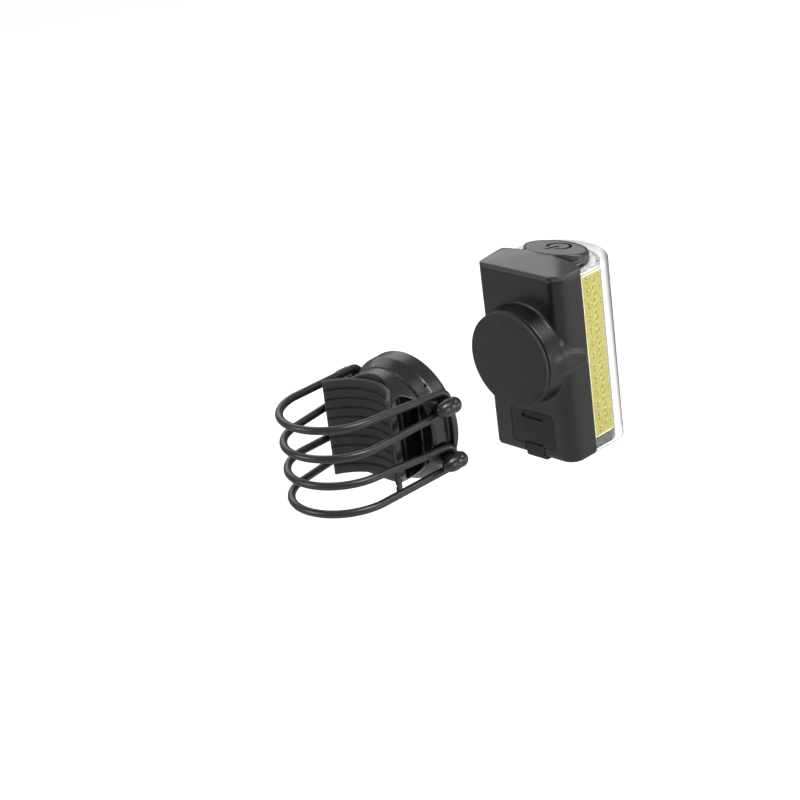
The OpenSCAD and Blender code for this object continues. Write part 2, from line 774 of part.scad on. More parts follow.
// Glossy cap: a rounded shoulder that rises to an oval nose, which holds the button
module top_cap() {
    color("#4a4a4c") difference() {
        hull() {
            intersection() {
                slab(light_outline(0), shell_top, body_top - 0.3);
                span([0, -far, 0], [seam_x + 0.8, far, far]);
            }
            intersection() {
                slab(light_outline(0.3), shell_top, body_top);
                span([0, -far, 0], [seam_x - 4, far, far]);
            }
            intersection() {
                slab(light_outline(shoulder_inset), shell_top, body_top + shoulder_rise);
                span([0, -far, 0], [seam_x - 3, far, far]);
            }
            nose_ellipse(nose_a, nose_b, shell_top, nose_top - 0.8);
            nose_ellipse(nose_a - 0.5, nose_b - 0.5, shell_top, nose_top);
        }
        nose_ellipse(button_a + button_gap, button_b + button_gap, 0, far);
        nose_ellipse(well_a, well_b, 0, nose_top - cap_wall);
    }
}

module nose_ellipse(a, b, low, high) {
    translate([nose_cx, 0, 0]) slab(ellipse_points(a, b), low, high);
}

module lens() {
    color("#dfe8ee", 0.35) difference() {
        intersection() {
            light_block();
            span([seam_x, -far, -far], [far, far, far]);
        }
        slab(lamp_outline(0, back_x), floor_z + lens_wall, shell_top - lens_wall);
        button_well();
    }
}

// Room under the button's flange, open towards the housing
module button_well() {
    nose_ellipse(well_a, well_b, 0, far);
    span([0, -well_b, 0], [nose_cx, well_b, far]);
}

module lens_gasket() {
    color("#1f1f21") gasket_frame();
}

module led_carrier() {
    color("#2a2a2c") difference() {
        union() {
            slab(lamp_outline(carrier_d, lamp_x), carrier_bottom, carrier_top);
            slab(lamp_outline(phosphor_d, lamp_x), carrier_bottom, lamp_bottom);
        }
        slab(lamp_outline(carrier_in_d, 0), carrier_bottom + shelf_t, shelf_top - shelf_t);
        slab(lamp_outline(carrier_in_d, 0), shelf_top, far);
    }
}

// White plate under the lens's top
module reflector_plate() {
    color("#ececee") difference() {
        slab(lamp_outline(phosphor_d, lamp_x), carrier_top, carrier_top + reflector_t);
        button_well();
    }
}

// Upright strip that follows the lens, between the insets outer and inner
module lamp_strip(outer, inner, x, low, high) {
    difference() {
        slab(lamp_outline(outer, x), low, high);
        slab(lamp_outline(inner, 0), low - 1, high + 1);
    }
}

module cob_board() {
    color("#f2efd0") lamp_strip(lamp_board_d, carrier_d, seam_x + lamp_inset - lamp_border, lamp_bottom, carrier_top);
}

module cob_phosphor() {
    color("#eeea62") lamp_strip(phosphor_d, lamp_board_d, seam_x + lamp_inset,
        lamp_bottom + lamp_border, carrier_top - lamp_border);
}

module at_board_screws() {
    for (y = [-board_screw_y, board_screw_y], z = [-0.5, 0.5])
        translate([0, y, board_screw_mid + z * board_screw_pitch]) children();
}

module main_pcb() {
    color("#1d5b35") difference() {
        span([board_x, -board_w / 2, port_board_z()], [board_x + board_t, board_w / 2, board_top]);
        at_board_screws() disc(0, far, board_screw_r + 0.1);
    }
}

// Charger, driver, coil and capacitor on the back of the board
module pcb_parts() {
    color("#202124") {
        board_part(-parts_y, parts_z, chip_w, chip_t);
        board_part(parts_y, parts_z, chip_w, chip_t);
        board_part(-parts_y, -parts_z, coil_w, coil_t);
        board_part(parts_y, -parts_z, capacitor_w, capacitor_t);
    }
}

module board_part(y, z, w, t) {
    span([board_x - t, y - w / 2, z - w / 2], [board_x, y + w / 2, z + w / 2]);
}

module pcb_screws() {
    color("#8d9094") at_board_screws() difference() {
        union() {
            disc(inner_x + 1.2, board_x + board_t - inner_x - 1.2 + eps, board_screw_r);
            disc(board_x + board_t, board_screw_head_h, board_screw_head_r);
        }
        span([board_x + board_t + 0.4, -0.2, -1.1], [far, 0.2, 1.1]);
        span([board_x + board_t + 0.4, -1.1, -0.2], [far, 1.1, 0.2]);
    }
}

module battery() {
    color("#3564a8") translate([cell_x, 0, cell_bottom]) {
        cylinder(h = cell_h, r = cell_r);
        translate([0, 0, cell_h - eps]) cylinder(h = 0.8, r = 3);
    }
}

// Solder tabs from the cell's two ends to the board
module battery_tabs() {
    color("#c9cbcc") {
        span([board_x + board_t, -tab_w / 2, cell_top + 0.8], [cell_x + 2, tab_w / 2, cell_top + 0.8 + tab_t]);
        span([board_x + board_t, -tab_w / 2, cell_bottom - tab_t], [cell_x + 2, tab_w / 2, cell_bottom]);
    }
}

module switch_board() {
    color("#1d5b35") span([nose_cx - switch_board_l / 2, -switch_board_w / 2, shelf_top],
        [nose_cx + switch_board_l / 2, switch_board_w / 2, switch_bottom]);
}

module tact_switch() {
    color("#2a2a2a") difference() {
        span([nose_cx - switch_w / 2, -switch_w / 2, switch_bottom], [nose_cx + switch_w / 2, switch_w / 2, switch_top]);
        translate([nose_cx, 0, switch_top - button_travel - 1.2]) cylinder(h = far, r = plunger_r + 0.1);
    }
}

module switch_plunger() {
    color("#8a3030") translate([nose_cx, 0, plunger_bottom])
        cylinder(h = flange_bottom - plunger_bottom, r = plunger_r);
}

module power_button() {
    color("#565656") difference() {
        union() {
            nose_ellipse(button_a, button_b, flange_bottom + eps, button_top - 0.3);
            nose_ellipse(button_a - 0.3, button_b - 0.3, flange_bottom + eps, button_top);
            nose_ellipse(button_a + flange_w, button_b + flange_w, flange_bottom, flange_top);
        }
        translate([nose_cx, 0, button_top - mark_depth]) power_mark();
    }
}

// Broken oval with a bar through its gap, which faces the back of the light
module power_mark() {
    gap = 1.3;
    difference() {
        slab(ellipse_points(mark_a, mark_b), 0, 1);
        slab(ellipse_points(mark_a - mark_w, mark_b - mark_w), -1, 2);
        span([-mark_a - 1, -gap, -1], [0, gap, 2]);
    }
    span([-mark_a - 0.7, -mark_w / 2, 0], [0, mark_w / 2, 1]);
}

// Metal shell of the charging socket, open towards the flap
module usb_socket() {
    color("#b4b6b8") difference() {
        span([socket_x, -socket_w / 2, port_z - socket_h / 2], [board_x, socket_w / 2, port_z + socket_h / 2]);
        span([0, socket_wall - socket_w / 2, port_z - socket_h / 2 + socket_wall],
             [board_x - 1, socket_w / 2 - socket_wall, port_z + socket_h / 2 - socket_wall]);
    }
}

module usb_tongue() {
    color("#1c1c1e") span([socket_x + 1.6, -socket_w / 2 + 1.3, port_z + 0.2], [board_x - 1, socket_w / 2 - 1.3, port_z + 0.8]);
}

saddle_block();
saddle_pad();
seat_dish();
dish_screws();
seat_magnet();
seat_liner();
o_ring_upper();
o_ring_lower();
puck_cover();
puck_magnet();
puck_plate();
swivel_screw();
swivel_washer();
rear_shell();
top_cap();
lens();
lens_gasket();
led_carrier();
cob_board();
cob_phosphor();
reflector_plate();
main_pcb();
pcb_parts();
pcb_screws();
battery();
battery_tabs();
switch_board();
tact_switch();
usb_socket();
usb_tongue();
flap_root();
port_flap();
power_button();
switch_plunger();
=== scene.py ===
import logging
import math
from collections.abc import Callable, Sequence
from dataclasses import dataclass
from enum import Enum
from functools import cache

import bpy
from mathutils import Matrix, Vector


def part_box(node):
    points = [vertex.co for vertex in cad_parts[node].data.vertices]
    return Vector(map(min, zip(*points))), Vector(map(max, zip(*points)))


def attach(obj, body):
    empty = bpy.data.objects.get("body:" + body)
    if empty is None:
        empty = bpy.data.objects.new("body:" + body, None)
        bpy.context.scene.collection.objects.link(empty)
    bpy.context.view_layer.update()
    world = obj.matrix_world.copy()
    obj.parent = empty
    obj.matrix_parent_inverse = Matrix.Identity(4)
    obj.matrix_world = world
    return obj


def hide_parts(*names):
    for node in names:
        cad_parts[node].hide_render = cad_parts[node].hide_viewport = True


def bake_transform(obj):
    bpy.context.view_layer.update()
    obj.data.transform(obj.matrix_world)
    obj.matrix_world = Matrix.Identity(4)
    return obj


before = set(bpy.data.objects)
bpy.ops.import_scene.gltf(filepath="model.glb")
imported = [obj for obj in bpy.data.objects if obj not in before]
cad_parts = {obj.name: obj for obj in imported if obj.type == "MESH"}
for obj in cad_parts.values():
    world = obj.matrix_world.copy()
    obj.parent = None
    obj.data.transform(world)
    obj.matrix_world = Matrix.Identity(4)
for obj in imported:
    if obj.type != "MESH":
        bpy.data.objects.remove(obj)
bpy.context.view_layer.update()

LOG = logging.getLogger("headlight")
MM = 0.001
WELD = 0.002 * MM
SIDES = {-1: "near", 1: "far"}
Piece = bpy.types.Object
Place = Sequence[float]
Pair = tuple[float, float]
Triple = tuple[float, float, float]
Profile = list[Pair]
Radii = dict[tuple[int, int], float]
Socket = bpy.types.NodeSocket
Test = Callable[[Vector], bool]
Tree = bpy.types.NodeTree


def linear(colour: str) -> tuple[float, ...]:
    """Turns an sRGB hex colour into the linear values that shaders take.

    Args:
        colour: the colour, written like "#8a8a8b".

    Returns:
        Linear red, green and blue, and an alpha of 1.
    """
    parts = [int(colour[i:i + 2], 16) / 255 for i in (1, 3, 5)]
    return (*(p / 12.92 if p <= 0.04045 else ((p + 0.055) / 1.055) ** 2.4 for p in parts), 1.0)


def add_node(tree: Tree, kind: str, settings: dict | None = None,
             links: dict | None = None) -> bpy.types.Node:
    """Adds a shader node with its settings and the links into it.

    Args:
        tree: the material's or the world's node tree.
        kind: the node's type.
        settings: values by the name of a property or, failing that, of an input socket.
        links: output sockets by the name or number of the input socket that they feed.

    Returns:
        The new node.
    """
    node = tree.nodes.new(kind)
    for key, value in (settings or {}).items():
        if isinstance(key, str) and hasattr(node, key):
            setattr(node, key, value)
        else:
            node.inputs[key].default_value = value
    for key, source in (links or {}).items():
        tree.links.new(source, node.inputs[key])
    return node


class Surface:
    """A material with one Principled shader, and what makes it look handled and moulded."""

    def __init__(self, name: str, values: dict) -> None:
        """Starts the material.

        Args:
            name: the material's name.
            values: the shader's even values by socket.
        """
        self.material = bpy.data.materials.new(name)
        self.material.use_nodes = True
        self.tree = self.material.node_tree
        self.tree.nodes.clear()
        self.shader = add_node(self.tree, "ShaderNodeBsdfPrincipled", values)
        add_node(self.tree, "ShaderNodeOutputMaterial", links={"Surface": self.shader.outputs["BSDF"]})

    def feed(self, socket: str, source: Socket) -> None:
        """Links a value into the shader."""
        self.tree.links.new(source, self.shader.inputs[socket])

    def texture(self, kind: str, size_mm: float, settings: dict) -> bpy.types.Node:
        """Adds a texture in the object's own coordinates.

        Args:
            kind: the node's type.
            size_mm: the usual size of a patch.
            settings: its other settings.

        Returns:
            The texture.
        """
        place = add_node(self.tree, "ShaderNodeTexCoord")
        return add_node(self.tree, kind, {"Scale": 1 / (size_mm * MM), **settings},
                        {"Vector": place.outputs["Object"]})

    def noise(self, size_mm: float, detail: float) -> Socket:
        """Returns an even noise."""
        return self.texture("ShaderNodeTexNoise", size_mm, {"Detail": detail}).outputs["Fac"]

    def remap(self, value: Socket, source: Place, target: Place = (0, 1)) -> Socket:
        """Stretches a value from one range to another.

        Args:
            value: the value.
            source: the least and greatest value that it comes from.
            target: the least and greatest value that it turns into.

        Returns:
            The new value.
        """
        limits = zip(("From Min", "From Max", "To Min", "To Max"), (*source, *target))
        return add_node(self.tree, "ShaderNodeMapRange", dict(limits), {"Value": value}).outputs["Result"]

    def mix(self, first: Place, second: Place, share: Socket) -> None:
        """Feeds the shader a base colour between two.

        Args:
            first: the linear colour where the share is 0.
            second: the linear colour where it is 1.
            share: the share.
        """
        node = add_node(self.tree, "ShaderNodeMix", {"data_type": "RGBA", 6: first, 7: second}, {0: share})
        self.feed("Base Color", node.outputs[2])

    def polish(self, low: float, high: float, size_mm: float) -> None:
        """Lets the roughness wander softly from low to high, in patches of size_mm."""
        self.feed("Roughness", self.remap(self.noise(size_mm, 4), (0.3, 0.7), (low, high)))

    def grain(self, size_mm: float, depth_mm: float) -> None:
        """Gives the fine relief that a mould's texture leaves."""
        bump = add_node(self.tree, "ShaderNodeBump", {"Strength": 1.0, "Distance": depth_mm * MM},
                        {"Height": self.noise(size_mm, 3)})
        self.feed("Normal", bump.outputs["Normal"])


@dataclass(frozen=True)
class Polymer:
    """A moulded plastic or rubber: one colour, rubbed a little paler along its edges.

    The grain is what the mould's surface leaves, and the roughness wanders as handling polishes it.
    """

    name: str
    colour: str
    rough: float
    grain: float = 0.35
    depth: float = 0.004
    rub: float = 0.25
    gloss: float = 0.5

    def build(self) -> bpy.types.Material:
        """Returns the material."""
        surface = Surface(self.name, {"IOR": 1.5, "Specular IOR Level": self.gloss})
        body = linear(self.colour)
        rubbed = [value + (1 - value) * 0.18 for value in body]
        edges = add_node(surface.tree, "ShaderNodeNewGeometry")
        surface.mix(body, rubbed, surface.remap(edges.outputs["Pointiness"], (0.52, 0.62), (0, self.rub)))
        surface.polish(self.rough * 0.88, self.rough * 1.15, 6)
        surface.grain(self.grain, self.depth)
        return surface.material


@dataclass(frozen=True)
class Metal:
    """A turned or stamped metal, with the fine lines that the tool leaves."""

    name: str
    colour: str
    rough: float
    line: float = 0.2
    depth: float = 0.002

    def build(self) -> bpy.types.Material:
        """Returns the material."""
        surface = Surface(self.name, {"Base Color": linear(self.colour), "Metallic": 1.0})
        surface.polish(self.rough * 0.8, self.rough * 1.2, 3)
        surface.grain(self.line, self.depth)
        return surface.material


@dataclass(frozen=True)
class ClearPolycarbonate:
    """Injection-moulded clear polycarbonate: water-clear and glossy, with painted shade where it is seen
    edge-on: its colour turns grey there, in place of the dark lines that refraction draws at a lens's edges.

    The lamp shows through the real thin walls almost unbent, so the body's IOR is low here and the
    coat on it carries the gloss of polycarbonate.
    """

    name: str = "clear polycarbonate"
    clear: str = "#ffffff"
    # painted shade: the grey that the lens's colour turns to where it is seen edge-on
    edge: str = "#3c3e40"
    body_ior: float = 1.0
    coat_ior: float = 1.45

    def build(self) -> bpy.types.Material:
        """Returns the material."""
        surface = Surface(self.name, {"Transmission Weight": 1.0, "IOR": self.body_ior, "Coat Weight": 0.8,
                                      "Coat Roughness": 0.02, "Coat IOR": self.coat_ior})
        # painted shade: grey mixed into the colour by how edge-on the surface is seen, for the dark lines at
        # the lens's edges
        rim = add_node(surface.tree, "ShaderNodeLayerWeight", {"Blend": 0.5})
        surface.mix(linear(self.clear), linear(self.edge), surface.remap(rim.outputs["Facing"], (0.6, 0.84)))
        surface.polish(0.0, 0.03, 9)
        return surface.material


@dataclass(frozen=True)
class PhosphorSilicone:
    """Cast silicone full of yellow phosphor powder: soft, slightly translucent and mottled."""

    name: str = "phosphor silicone"
    yellow: str = "#a8a12e"
    pale: str = "#c0b752"
    mottle: float = 1.6

    def build(self) -> bpy.types.Material:
        """Returns the material."""
        surface = Surface(self.name, {"Subsurface Weight": 0.15, "Subsurface Scale": 0.4 * MM})
        mottle = surface.remap(surface.noise(self.mottle, 5), (0.35, 0.7))
        surface.mix(linear(self.yellow), linear(self.pale), mottle)
        surface.polish(0.38, 0.5, 2)
        surface.grain(0.5, 0.01)
        return surface.material


@dataclass(frozen=True)
class CircuitBoard:
    """Glass-fibre board under solder mask: glossy green with the weave just showing."""

    name: str = "green solder mask"
    green: str = "#1c5a34"
    weave: float = 0.5

    def build(self) -> bpy.types.Material:
        """Returns the material."""
        surface = Surface(self.name, {})
        red, green, blue, alpha = linear(self.green)
        colours = {"Color1": (red, green, blue, alpha), "Color2": (red * 0.8, green * 0.8, blue * 0.8, alpha)}
        weave = surface.texture("ShaderNodeTexChecker", self.weave, colours)
        surface.feed("Base Color", weave.outputs["Color"])
        surface.polish(0.22, 0.32, 4)
        return surface.material


class Finish(Enum):
    """Every finish of the object, named for its material. Grains are in millimetres."""

    # Bracket in glossy black ABS: polished mould, so it mirrors the light in long soft streaks
    GLOSS_ABS = Polymer("glossy black ABS", "#19191a", 0.27, grain=0.8, depth=0.0006, rub=0, gloss=1)
    # Ribbed pad of soft rubber: dull and slightly dusty
    PAD_RUBBER = Polymer("soft pad rubber", "#323233", 0.68, grain=0.3, depth=0.01, rub=0.5)
    # Moulded rubber cord: satin, with one soft highlight along it
    RING_RUBBER = Polymer("satin ring rubber", "#242320", 0.34, grain=0.4, depth=0.002, rub=0, gloss=1)
    # Thin friction liner: dull, with a fine tooth
    LINER_RUBBER = Polymer("friction liner rubber", "#2c2c2f", 0.75, grain=0.25, depth=0.012, rub=0.2)
    # Polycarbonate puck: fine spark-eroded texture that scatters the light evenly
    PUCK_PLASTIC = Polymer("textured puck polycarbonate", "#39393a", 0.55, grain=0.22, depth=0.006, rub=0.3)
    # Housing in satin polycarbonate: dark, with broad soft reflections
    SATIN_SHELL = Polymer("satin housing polycarbonate", "#131314", 0.34, grain=0.3, depth=0.003, rub=0,
                          gloss=0.8)
    # Cap: smoother than the housing, and painted paler than the housing's black: painted light that brightens
    # its glossy top, so its mound shows in soft bright bands
    PIANO_CAP = Polymer("polished cap polycarbonate", "#424244", 0.24, grain=0.8, depth=0.0002, rub=0,
                        gloss=1)
    # Silicone button: even and matte
    BUTTON_SILICONE = Polymer("matte button silicone", "#8a8a8b", 0.6, grain=0.25, depth=0.006, rub=0.2)
    # Paint in the button's mark: flat black
    MARK_PAINT = Polymer("black mark paint", "#0a0a0a", 0.6, grain=0.3, depth=0.002, rub=0, gloss=0.05)
    # Flap and strap in soft rubber: a shade duller than the housing
    FLAP_RUBBER = Polymer("flap rubber", "#29292a", 0.55, grain=0.3, depth=0.006, rub=0.3)
    # Foam gasket: open-pored and dead black
    GASKET_FOAM = Polymer("gasket foam rubber", "#161617", 0.9, grain=0.2, depth=0.02, rub=0)
    # Carrier in filled nylon: dark grey and faintly stippled
    CARRIER_NYLON = Polymer("dark carrier nylon", "#3d3d40", 0.5, grain=0.3, rub=0.2)
    # Solder mask of the lamp's board: clean shiny white
    BOARD_MASK = Polymer("white lamp board mask", "#f3f2ea", 0.35, grain=0.4, depth=0.001, rub=0)
    # Silicone bead round the phosphor: a bright cream line
    DAM_SILICONE = Polymer("cream dam silicone", "#f8f6d4", 0.35, grain=0.5, rub=0)
    # Dies that show through the phosphor as olive specks; beside them, pale domes of painted highlight:
    # glints of light on the phosphor
    DIE_SPECK = Polymer("olive die specks", "#696520", 0.4, grain=0.3, depth=0.001, rub=0)
    # painted highlight: pale glints of light on the phosphor
    DIE_DROP = Polymer("painted phosphor glints", "#f6f082", 0.25, grain=0.3, depth=0.001, rub=0)
    # Tinned contact pad above the phosphor's corner: pale dull grey
    TINNED_PAD = Polymer("dull tinned pad", "#bababf", 0.5, grain=0.4, depth=0.02, rub=0)
    # Reflector plate under the lens's top: bright and even
    REFLECTOR = Polymer("white reflector plastic", "#f4f4f5", 0.3, grain=0.5, depth=0.001, rub=0)
    # Chips in black epoxy, and the plain dull plastics of the switch, its plunger and the socket's tongue
    CHIP_EPOXY = Polymer("black chip epoxy", "#1c1c1e", 0.5, grain=0.2, depth=0.006, rub=0)
    SWITCH_NYLON = Polymer("black switch nylon", "#242424", 0.5, grain=0.3, depth=0.003, rub=0)
    PLUNGER_NYLON = Polymer("red plunger nylon", "#8a2c2c", 0.4, grain=0.3, depth=0.002, rub=0)
    TONGUE_NYLON = Polymer("black socket tongue", "#17171a", 0.45, grain=0.3, depth=0.003, rub=0)
    # Shrink wrap on the cell: smooth and shiny, with slow waves
    CELL_WRAP = Polymer("blue shrink wrap", "#2c5aa0", 0.25, grain=1.5, depth=0.01, rub=0)
    # Grey zinc on steel, and mirror-bright nickel plate
    ZINC_STEEL = Metal("zinc plated steel", "#a3a5a8", 0.32)
    NICKEL_PLATE = Metal("nickel plate", "#c2c0ba", 0.18, line=0.5, depth=0.0005)
    CLEAR_LENS = ClearPolycarbonate()
    PHOSPHOR = PhosphorSilicone()
    GREEN_MASK = CircuitBoard()


@cache
def material_of(finish: Finish) -> bpy.types.Material:
    """Builds a finish's material, once."""
    return finish.value.build()


def paint(piece: Piece, finish: Finish) -> None:
    """Gives a piece one material and no other."""
    piece.data.materials.clear()
    piece.data.materials.append(material_of(finish))


def dress(finish: Finish, *nodes: str) -> None:
    """Gives CAD nodes that keep their shape a finish.

    Args:
        finish: their finish.
        nodes: the nodes' names.
    """
    for node in nodes:
        paint(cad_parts[node], finish)
        LOG.info("%s keeps its shape, in %s", node, finish.value.name)


def box_mm(node: str) -> tuple[Vector, Vector]:
    """Returns a CAD node's lowest and highest corner in millimetres."""
    low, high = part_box(node)
    return low / MM, high / MM


def new_object(name: str, data: bpy.types.ID) -> Piece:
    """Puts an object with its data into the scene.

    Args:
        name: its name.
        data: the mesh, curve, camera or light that it holds.

    Returns:
        The object.
    """
    piece = bpy.data.objects.new(name, data)
    bpy.context.scene.collection.objects.link(piece)
    return piece


def object_mode() -> None:
    """Goes back to object mode."""
    if bpy.context.mode != "OBJECT":
        bpy.ops.object.mode_set(mode="OBJECT")


def pick(piece: Piece) -> None:
    """Selects one object alone and makes it the active one.

    Args:
        piece: the object.
    """
    object_mode()
    bpy.ops.object.select_all(action="DESELECT")
    piece.select_set(True)
    bpy.context.view_layer.objects.active = piece


def edit(piece: Piece) -> None:
    """Opens one object in edit mode with everything selected.

    Args:
        piece: the mesh object.
    """
    pick(piece)
    bpy.ops.object.mode_set(mode="EDIT")
    bpy.ops.mesh.select_mode(type="VERT")
    bpy.ops.mesh.select_all(action="SELECT")


def bake(piece: Piece) -> Piece:
    """Moves an object's place, turn and size into its mesh.

    Args:
        piece: the object.

    Returns:
        The same object, at the origin and unscaled.
    """
    pick(piece)
    bpy.ops.object.transform_apply(location=True, rotation=True, scale=True)
    return piece


def select_where(piece: Piece, test: Test, kind: str = "VERT") -> None:
    """Selects the vertices, edges or faces whose every corner passes a test, and stays in edit mode.

    Args:
        piece: the mesh object, baked.
        test: takes a corner's place in millimetres.
        kind: VERT, EDGE or FACE.
    """
    edit(piece)
    bpy.ops.mesh.select_all(action="DESELECT")
    object_mode()
    for vertex in piece.data.vertices:
        vertex.select = test(vertex.co / MM)
    bpy.ops.object.mode_set(mode="EDIT")
    bpy.ops.mesh.select_mode(type=kind)


def round_where(piece: Piece, test: Test, radius: float, segments: int) -> None:
    """Rounds the edges whose both ends pass a test.

    Args:
        piece: the mesh object, baked.
        test: takes a corner's place in millimetres.
        radius: size of the round in millimetres.
        segments: faces across the round.
    """
    select_where(piece, test, "EDGE")
    bpy.ops.mesh.bevel(offset=radius * MM, segments=segments, affect="EDGES")
    object_mode()


def extrude(step: Place) -> None:
    """Extrudes what is selected by a step in millimetres."""
    bpy.ops.mesh.extrude_region_move(TRANSFORM_OT_translate={"value": Vector(step) * MM})


def face_out(piece: Piece) -> Piece:
    """Turns a closed mesh's normals outward.

    Args:
        piece: the mesh object.

    Returns:
        The same object, in object mode.
    """
    edit(piece)
    bpy.ops.mesh.normals_make_consistent(inside=False)
    object_mode()
    return piece


def weld(piece: Piece) -> None:
    """Merges a mesh's vertices that lie on each other, and stays in edit mode.

    Args:
        piece: the mesh object.
    """
    edit(piece)
    bpy.ops.mesh.remove_doubles(threshold=WELD)
    bpy.ops.mesh.select_all(action="SELECT")


def apply_modifier(piece: Piece, kind: str, **settings: object) -> None:
    """Adds a modifier to a piece and applies it.

    Args:
        piece: the mesh object.
        kind: the modifier's type.
        settings: its properties.
    """
    pick(piece)
    modifier = piece.modifiers.new(kind.title(), kind)
    for key, value in settings.items():
        setattr(modifier, key, value)
    bpy.ops.object.modifier_apply(modifier=modifier.name)


def join(pieces: Sequence[Piece]) -> Piece:
    """Joins pieces into the first one.

    Args:
        pieces: the mesh objects.

    Returns:
        The first one.
    """
    pick(pieces[0])
    for piece in pieces[1:]:
        piece.select_set(True)
    bpy.ops.object.join()
    return pieces[0]


def hull(pieces: Sequence[Piece]) -> Piece:
    """Joins pieces and wraps them in their convex hull.

    Args:
        pieces: the mesh objects.

    Returns:
        The hull.
    """
    piece = join(pieces)
    edit(piece)
    bpy.ops.mesh.convex_hull()
    object_mode()
    return piece


def merged_copy(node: str) -> Piece:
    """Copies a CAD node into a new piece, with its loose triangles merged.

    Args:
        node: the CAD node's name.

    Returns:
        The new piece.
    """
    piece = new_object(node + "_moulding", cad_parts[node].data.copy())
    pick(piece)
    bpy.ops.mesh.customdata_custom_splitnormals_clear()
    weld(piece)
    object_mode()
    return piece


def smooth_shade(piece: Piece, degrees: float = 32) -> None:
    """Shades a piece smooth, except across edges sharper than the angle."""
    pick(piece)
    bpy.ops.object.shade_smooth_by_angle(angle=math.radians(degrees))


def soft_edges(piece: Piece, radius: float, segments: int = 3) -> Piece:
    """Rounds a piece's sharp edges.

    Args:
        piece: the mesh object.
        radius: size of the round in millimetres.
        segments: faces across the round.

    Returns:
        The same piece.
    """
    edit(piece)
    bpy.ops.mesh.dissolve_limited(angle_limit=math.radians(0.6))
    object_mode()
    apply_modifier(piece, "BEVEL", width=radius * MM, segments=segments, limit_method="ANGLE",
                   angle_limit=math.radians(28), use_clamp_overlap=True)
    smooth_shade(piece)
    return piece


def skin(piece: Piece, voxel: float, rounds: int) -> None:
    """Turns joined solids into one moulding with filleted corners.

    Args:
        piece: the solids, joined in one object.
        voxel: size of the new faces in millimetres.
        rounds: passes of smoothing, each of which widens the fillets.
    """
    coarse = 1.0
    apply_modifier(piece, "REMESH", mode="VOXEL", voxel_size=voxel * coarse * MM)
    apply_modifier(piece, "SMOOTH", factor=0.5, iterations=max(2, int(rounds / coarse ** 2)))
    pick(piece)
    bpy.ops.object.shade_smooth()


def cut(piece: Piece, cutter: Piece, operation: str = "DIFFERENCE") -> None:
    """Cuts one solid out of another, or unites or intersects them, and removes the cutter."""
    apply_modifier(piece, "BOOLEAN", operation=operation, object=cutter, solver="EXACT")
    bpy.data.objects.remove(cutter)


def primitive(add: Callable, place: Place = (0, 0, 0), scale: Place = (1, 1, 1),
              **settings: object) -> Piece:
    """Adds one of Blender's mesh primitives and bakes it.

    Args:
        add: the operator that adds it.
        place: its middle in millimetres.
        scale: its size along each axis, over what the settings say.
        settings: the operator's other settings.

    Returns:
        The new piece.
    """
    object_mode()
    bpy.ops.object.select_all(action="DESELECT")
    add(location=Vector(place) * MM, **settings)
    piece = bpy.context.active_object
    piece.scale = scale
    return bake(piece)


def block(low: Place, high: Place) -> Piece:
    """Adds a block between two corners, in millimetres."""
    low, high = Vector(low), Vector(high)
    return primitive(bpy.ops.mesh.primitive_cube_add, (low + high) / 2, (high - low) * MM, size=1)


def rounded_block(low: Place, high: Place, radii: Radii | float, axis: int) -> Piece:
    """Adds a block whose edges along one axis are rounded one by one.

    Args:
        low: its lowest corner in millimetres.
        high: its highest corner.
        radii: radius by the signs of the edge's place along the two other axes, or one for all four.
        axis: number of the axis that the edges run along.

    Returns:
        The block.
    """
    piece = block(low, high)
    if not isinstance(radii, dict):
        radii = {(a, b): radii for a in (-1, 1) for b in (-1, 1)}
    others = [i for i in range(3) if i != axis]
    for signs, radius in radii.items():
        corner = [high[i] if s > 0 else low[i] for i, s in zip(others, signs)]
        round_where(piece, lambda p: all(abs(p[i] - c) < 0.01 for i, c in zip(others, corner)), radius, 10)
    return piece


def ellipse_block(centre: Place, half_x: float, half_y: float, low: float, high: float,
                  points: int = 128) -> Piece:
    """Adds an upright elliptical cylinder.

    Args:
        centre: its middle along X and Y, in millimetres.
        half_x: half of its length.
        half_y: half of its width.
        low: height of its bottom.
        high: height of its top.
        points: number of upright edges.

    Returns:
        The solid.
    """
    piece = primitive(bpy.ops.mesh.primitive_circle_add, (*centre, low), (half_x * MM, half_y * MM, 1),
                      vertices=points, radius=1, fill_type="NGON")
    edit(piece)
    extrude((0, 0, high - low))
    return face_out(piece)


def draw_line(points: Sequence[Vector]) -> Piece:
    """Draws a line of edges by extruding one vertex from point to point.

    Args:
        points: the line's points in millimetres.

    Returns:
        The line.
    """
    line = primitive(bpy.ops.mesh.primitive_plane_add, points[0], size=MM)
    edit(line)
    bpy.ops.mesh.merge(type="CENTER")
    for here, there in zip(points, points[1:]):
        extrude(there - here)
    object_mode()
    return line


def arc(middle: Place, radius: float, start: float, stop: float, steps: int = 6) -> Profile:
    """Returns the points of an arc, from one angle in degrees to another."""
    angles = [math.radians(start + (stop - start) * i / steps) for i in range(steps + 1)]
    return [(middle[0] + radius * math.cos(a), middle[1] + radius * math.sin(a)) for a in angles]


def turned(profile: Profile, steps: int = 160) -> Piece:
    """Spins a profile round the X axis into a closed solid.

    Args:
        profile: place along X and radius of each point, in millimetres.
        steps: faces round the solid.

    Returns:
        The solid.
    """
    piece = draw_line([Vector((x, 0, r)) for x, r in profile])
    edit(piece)
    bpy.ops.mesh.spin(steps=steps, angle=math.tau, center=(0, 0, 0), axis=(1, 0, 0))
    weld(piece)
    smooth_shade(face_out(piece))
    return piece


